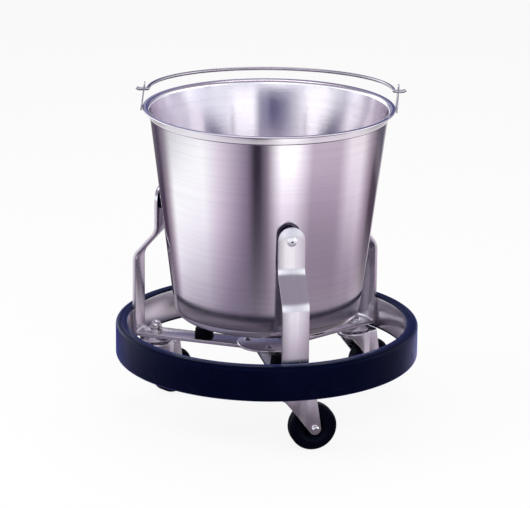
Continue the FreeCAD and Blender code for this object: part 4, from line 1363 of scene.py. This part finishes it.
screw_low = span("pad_screw_front", UP)[0]
screw_end = arm_top + SCREW_DEPTH
outline = [(0, screw_low), (SCREW_HEAD, screw_low), (SCREW_HEAD, arm_under)]
outline += [(SCREW_SHANK, arm_under), (SCREW_SHANK, screw_end), (0, screw_end)]
screw = turned("pad_screw_shape", outline, [(1, SCREW_HEAD_ROUND, 5)], steps=32)
hold(None)
bpy.ops.mesh.primitive_cylinder_add(vertices=6, radius=SOCKET, depth=SOCKET_DEPTH, location=(0, 0, screw_low))
combine(screw, "DIFFERENCE", bpy.context.active_object)
smooth(screw)
dress_sides("pad_screw", screw, on_arm(pad_place, 0))

# %% [markdown]
# ## Casters
#
# Each caster hangs from a kingpin through the arm. An acorn nut on a washer shows above the arm, and
# under it are a stamped race, a ring of balls, the fork and the wheel. The turned pieces follow the
# model's own boxes.

# %% Kingpins and washers
STEM = 0.0047
STEM_HOLE = STEM + SEAT
STEM_FLANGE = 0.0026
STEM_FLANGE_ROUND = 0.0009
STEM_END = 0.0007
WASHER_UNDER = 0.0003
WASHER_ROUND = 0.0004
SMALL_STEPS = 40

stem_low, stem_high = span("stem_front", UP)
flange = half_across(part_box("stem_front"))
flange_top = stem_low + STEM_FLANGE
outline = [(0, stem_low), (flange, stem_low), (flange, flange_top)]
outline += [(STEM, flange_top), (STEM, stem_high), (0, stem_high)]
rounds = [(1, STEM_FLANGE_ROUND, 4), (4, STEM_END, 1)]
stem = turned("stem_shape", outline, rounds, steps=SMALL_STEPS)
dress_sides("stem", stem, at_kingpin)

low, high = span("stem_washer_front", UP)
washer_radius = half_across(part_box("stem_washer_front"))
outline = [(STEM_HOLE, low), (washer_radius, low), (washer_radius, high), (STEM_HOLE, high)]
rounds = [(1, WASHER_UNDER, 2), (2, WASHER_ROUND, 3)]
washer = turned("washer_shape", outline, rounds, closed=True, steps=SMALL_STEPS)
dress_sides("stem_washer", washer, at_kingpin)

# %% Acorn nuts
NUT_FLAT = 0.0071
NUT_HEX = 0.0052
NUT_EDGE = 0.0004
CAP_SHARE = 0.96
CAP_STEPS = 10


def nut_blank(name, flat, height, middle):
    """A six-sided block about Z; flat is the distance from its axis to a side."""
    hold(None)
    bpy.ops.mesh.primitive_cylinder_add(
        vertices=6,
        radius=flat / math.cos(math.pi / 6),
        depth=height,
        location=(0, 0, middle),
        rotation=(0, 0, math.pi / 6),
    )
    return take(name)


nut_low, nut_high = span("acorn_nut_front", UP)
nut_middle = nut_low + NUT_HEX / 2
crown = nut_high - NUT_FLAT
nut = nut_blank("acorn_nut_shape", NUT_FLAT, NUT_HEX, nut_middle)
soften(nut, NUT_EDGE)
cap_radius = NUT_FLAT * CAP_SHARE
outline = [(0, nut_middle), (cap_radius, nut_middle), (cap_radius, crown)]
outline += dome(cap_radius, nut_high - crown, crown, CAP_STEPS)[1:]
combine(nut, "UNION", turned("acorn_cap", outline, steps=SMALL_STEPS))
smooth(nut)
dress_sides("acorn_nut", nut, at_kingpin)

# %% Top races
RACE_SHEET = 0.002
RACE_DOME = 0.014

race_low, race_high = span("top_race_front", UP)
race_radius = half_across(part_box("top_race_front"))
outline = [
    (STEM_HOLE, race_high - RACE_SHEET),
    (RACE_DOME, race_high - RACE_SHEET),
    (race_radius - RACE_SHEET, race_low),
    (race_radius, race_low),
    (race_radius, race_low + RACE_SHEET),
    (RACE_DOME + RACE_SHEET, race_high),
    (STEM_HOLE, race_high),
]
rounds = [(1, 0.0015, 4), (3, 0.0005, 3), (4, 0.0008, 3), (5, 0.0016, 4)]
race = turned("top_race_shape", outline, rounds, closed=True, steps=64)
dress_sides("top_race", race, at_kingpin)

# %% [markdown]
# ### Forks
#
# A caster fork is a stamping: sheet drawn down over a block, round about the kingpin and flat at the
# two legs. Its plan is drawn as a wire that is open towards the wheel, and extruded down to a skirt,
# whose lower end is scaled to the width over the legs. The top is filled and its edge bevelled for the
# drawn shoulder, and the sheet gets its thickness.

# %% Draw the forks
FORK_SHEET = 0.0024
FORK_GAP = 0.024
FORK_TOP = 0.020
FORK_SHOULDER = 0.003
FORK_LENGTH = 0.037
FLANK_TURN = math.radians(66)
FLANK_END = 0.017
FLANK_ROUND = 0.006
LEG_END = 0.0072
ARC_STEPS = 28

fork_top = span("fork_front", UP)[1]
axle_height = axle_middle["front"].z
leg_outer = FORK_GAP / 2 + FORK_SHEET
plan = [(FORK_LENGTH, -leg_outer, fork_top), (FLANK_END, -leg_outer, fork_top)]
for step in range(ARC_STEPS + 1):
    turn = -FLANK_TURN - (math.tau - 2 * FLANK_TURN) * step / ARC_STEPS
    plan.append((FORK_TOP * math.cos(turn), FORK_TOP * math.sin(turn), fork_top))
plan += [(FLANK_END, leg_outer, fork_top), (FORK_LENGTH, leg_outer, fork_top)]
fork = draw("fork_shape", plan, closed=True)
round_corner(fork, plan[1], FLANK_ROUND, 5)
round_corner(fork, plan[-2], FLANK_ROUND, 5)
choose_edges(fork, lambda start, end: min(start.x, end.x) < FORK_LENGTH - SAME)
push((0, 0, -(fork_top - axle_height + LEG_END + FORK_SHEET)))
fork_low = axle_height - LEG_END - FORK_SHEET
bottom = fork_low + SAME
draw_in = leg_outer / FORK_TOP
choose_points(fork, lambda place: place.z < bottom and place.x <= SAME)
bpy.ops.transform.resize(value=(draw_in, draw_in, 1), center_override=(0, 0, fork_low))
for way in (-1, 1):
    choose_points(fork, lambda place: place.z < bottom and place.x > SAME and place.y * way > 0)
    bpy.ops.transform.resize(value=(1, 0, 1), center_override=(0, way * leg_outer, fork_low))
choose_points(fork, lambda place: place.z > fork_top - SAME)
bpy.ops.mesh.edge_face_add()
close_up(fork)
if next(face.normal.z for face in fork.data.polygons if abs(face.normal.z) > 0.9) < 0:
    edit(fork, everything=True)
    bpy.ops.mesh.flip_normals()


def on_shoulder(start, end):
    """Whether an edge lies on the top's round border."""
    level = min(start.z, end.z) > fork_top - SAME
    return level and min(start.x, end.x) < FORK_LENGTH - SAME


choose_edges(fork, on_shoulder)
bpy.ops.mesh.bevel(offset=FORK_SHOULDER, segments=5, profile=0.5, affect="EDGES")
modify(fork, "SOLIDIFY", thickness=FORK_SHEET, offset=-1.0, use_even_offset=True)

# %% [markdown]
# A prism with the outline of the legs, seen from the side, then keeps only what belongs to the fork:
# the high skirt in front, the slanting legs and their round ends about the axle.

# %% Trim the forks
FRONT_SLANT = math.radians(37.1)
REAR_SLANT = math.radians(8.3)
KNEE_HEIGHT = 0.052
SKIRT_DROP = 0.0051
SKIRT_KNEE = 0.011
SKIRT_ROUND = 0.008
KNEE_ROUND = 0.012
LEG_STEPS = 16
FORK_EDGE = 0.00025

leg_x = math.hypot(trail["front"].x, trail["front"].y)
side_reach = FORK_TOP + FORK_SHEET
above = fork_top + FORK_SHEET
skirt = fork_top - SKIRT_DROP
leg_end = arc(
    leg_x, axle_height, LEG_END, 180 + math.degrees(FRONT_SLANT), 360 + math.degrees(REAR_SLANT), LEG_STEPS
)
knee_x = leg_end[0][0] - (KNEE_HEIGHT - leg_end[0][1]) * math.tan(FRONT_SLANT)
trim = [(-side_reach, above), (-side_reach, skirt), (-SKIRT_KNEE, skirt - FORK_SHEET), (knee_x, KNEE_HEIGHT)]
trim += leg_end
trim.append((leg_end[-1][0] - (above - leg_end[-1][1]) * math.tan(REAR_SLANT), above))
corners = [(x, -side_reach, z) for x, z in trim]
block = draw("fork_trim", corners, closed=True)
round_corner(block, corners[2], SKIRT_ROUND, 5)
round_corner(block, corners[3], KNEE_ROUND, 5)
edit(block, everything=True)
bpy.ops.mesh.edge_face_add()
push((0, 2 * side_reach, 0))
close_up(block)
combine(fork, "INTERSECT", block)
soften(fork, FORK_EDGE)
dress_sides("fork", fork, at_kingpin)

# %% [markdown]
# ### Wheels and axles
#
# The tyre and the moulded centre are turned. The tyre's cheek has a shallow step, and the centre has a
# hub, a thinner web and a rim. The axle is a bolt with a domed head, and its nut is on the other leg.

# %% Turn the wheels
WHEEL_WIDTH = 0.0175
TREAD_ROUND = 0.0036
CHEEK_ROUND = 0.002
CHEEK_STEP = 0.0005
STEP_START = 0.004
STEP_END = 0.005
STEP_SLOPE = 0.0002
CORE_RADIUS = 0.015
CORE_WIDTH = 0.015
CORE_RIM = 0.0026
BUSH = 0.005
HUB_OUTER = 0.0084
HUB_HALF = 0.0117
WEB_HALF = 0.0035


def both_sides(half_outline):
    """An outline and its mirror image, for a piece that is alike on both sides."""
    return half_outline + [(radius, -height) for radius, height in reversed(half_outline)]


wheel_radius = axle_height
half_width = WHEEL_WIDTH / 2
half_core = CORE_WIDTH / 2
cheek = 0.5 * (CORE_RADIUS + wheel_radius) - TREAD_ROUND
tyre_half = [
    (CORE_RADIUS + SEAT, half_core),
    (cheek, half_width),
    (cheek + STEP_START, half_width),
    (cheek + STEP_START + STEP_SLOPE, half_width - CHEEK_STEP),
    (cheek + STEP_END - STEP_SLOPE, half_width - CHEEK_STEP),
    (cheek + STEP_END, half_width),
    (wheel_radius, half_width),
]
rounds = [(6, TREAD_ROUND, 7), (7, TREAD_ROUND, 7), (1, CHEEK_ROUND, 3), (12, CHEEK_ROUND, 3)]
tyre = turned("tyre_shape", both_sides(tyre_half), rounds, closed=True)
dress_sides("tyre", tyre, lying_on_axle)

core_half = [
    (BUSH + SEAT, HUB_HALF),
    (HUB_OUTER, HUB_HALF),
    (HUB_OUTER, WEB_HALF),
    (CORE_RADIUS - CORE_RIM, WEB_HALF),
    (CORE_RADIUS - CORE_RIM, half_core),
    (CORE_RADIUS, half_core),
]
core_rounds = {1: (0.0006, 2), 2: (0.001, 3), 3: (0.001, 3), 4: (0.0005, 2)}
rounds = [(number, *core_rounds[number]) for number in (1, 2, 3, 4)]
rounds += [(11 - number, *core_rounds[number]) for number in (4, 3, 2, 1)]
core = turned("core_shape", both_sides(core_half), rounds, closed=True, steps=64)
dress_sides("wheel_core", core, lying_on_axle)

# %% Turn the axles
AXLE = 0.0032
HEAD = 0.0047
HEAD_RISE = 0.0036
HEAD_ROUND = 0.0022
NUT = 0.0055
NUT_THICKNESS = 0.005
THREAD_END = 0.0015
THREAD_PITCH = 0.0005
THREAD_START = 0.0003
THREAD_DEPTH = 0.0003
POINT = 0.0007

far_end = -(leg_outer + NUT_THICKNESS + THREAD_END)
outline = [(0, far_end), (AXLE - POINT, far_end)]
for turn in range(3):
    crest = far_end + THREAD_START + THREAD_PITCH * turn
    outline += [(AXLE, crest), (AXLE - THREAD_DEPTH, crest + THREAD_PITCH / 2)]
head = len(outline) + 2
head_top = leg_outer + HEAD_RISE
outline += [(AXLE, leg_outer), (HEAD, leg_outer), (HEAD, head_top), (0, head_top)]
axle = turned("axle_shape", outline, [(head, HEAD_ROUND, 6)], steps=SMALL_STEPS)
dress_sides("axle", axle, lying_on_axle)

# %% [markdown]
# The nut starts as a six-sided block. A wide cone, of which it keeps the inside, takes its outer
# corners off, and a drill gives it its bore.

# %% Cut the axle nuts
COUNTERSINK = NUT * 0.98
NUT_SOFT = 0.00015

nut_middle = -(leg_outer + NUT_THICKNESS / 2)
nut = nut_blank("axle_nut_shape", NUT, NUT_THICKNESS, nut_middle)
hold(None)
bpy.ops.mesh.primitive_cone_add(
    vertices=48,
    radius1=COUNTERSINK + NUT_THICKNESS * math.sqrt(3),
    radius2=COUNTERSINK,
    depth=NUT_THICKNESS,
    location=(0, 0, nut_middle),
)
bpy.context.active_object.rotation_euler = (math.pi, 0, 0)
combine(nut, "INTERSECT", take("countersink"))
hold(None)
bpy.ops.mesh.primitive_cylinder_add(
    vertices=40, radius=AXLE + SEAT, depth=NUT_THICKNESS * 2, location=(0, 0, nut_middle)
)
combine(nut, "DIFFERENCE", bpy.context.active_object)
soften(nut, NUT_SOFT)
dress_sides("axle_nut", nut, lying_on_axle)

# %% [markdown]
# ## What stays from the model
#
# The bearing balls and the bushes hide inside the casters. Their shapes are right already, so they
# stay as they are and only get their finish.

# %% Finish the nodes that stay
for name in ("ball_ring", "wheel_bush"):
    for side in SIDES:
        node = f"{name}_{side}"
        for slot in frame["nodes"][node].material_slots:
            slot.material = finish[slot_of[node]]
        print(node, "keeps its shape")

# %% [markdown]
# ## Size
#
# The dressed bucket must fill the same box as the engineering model.

# %% Let go of everything
hold(None)
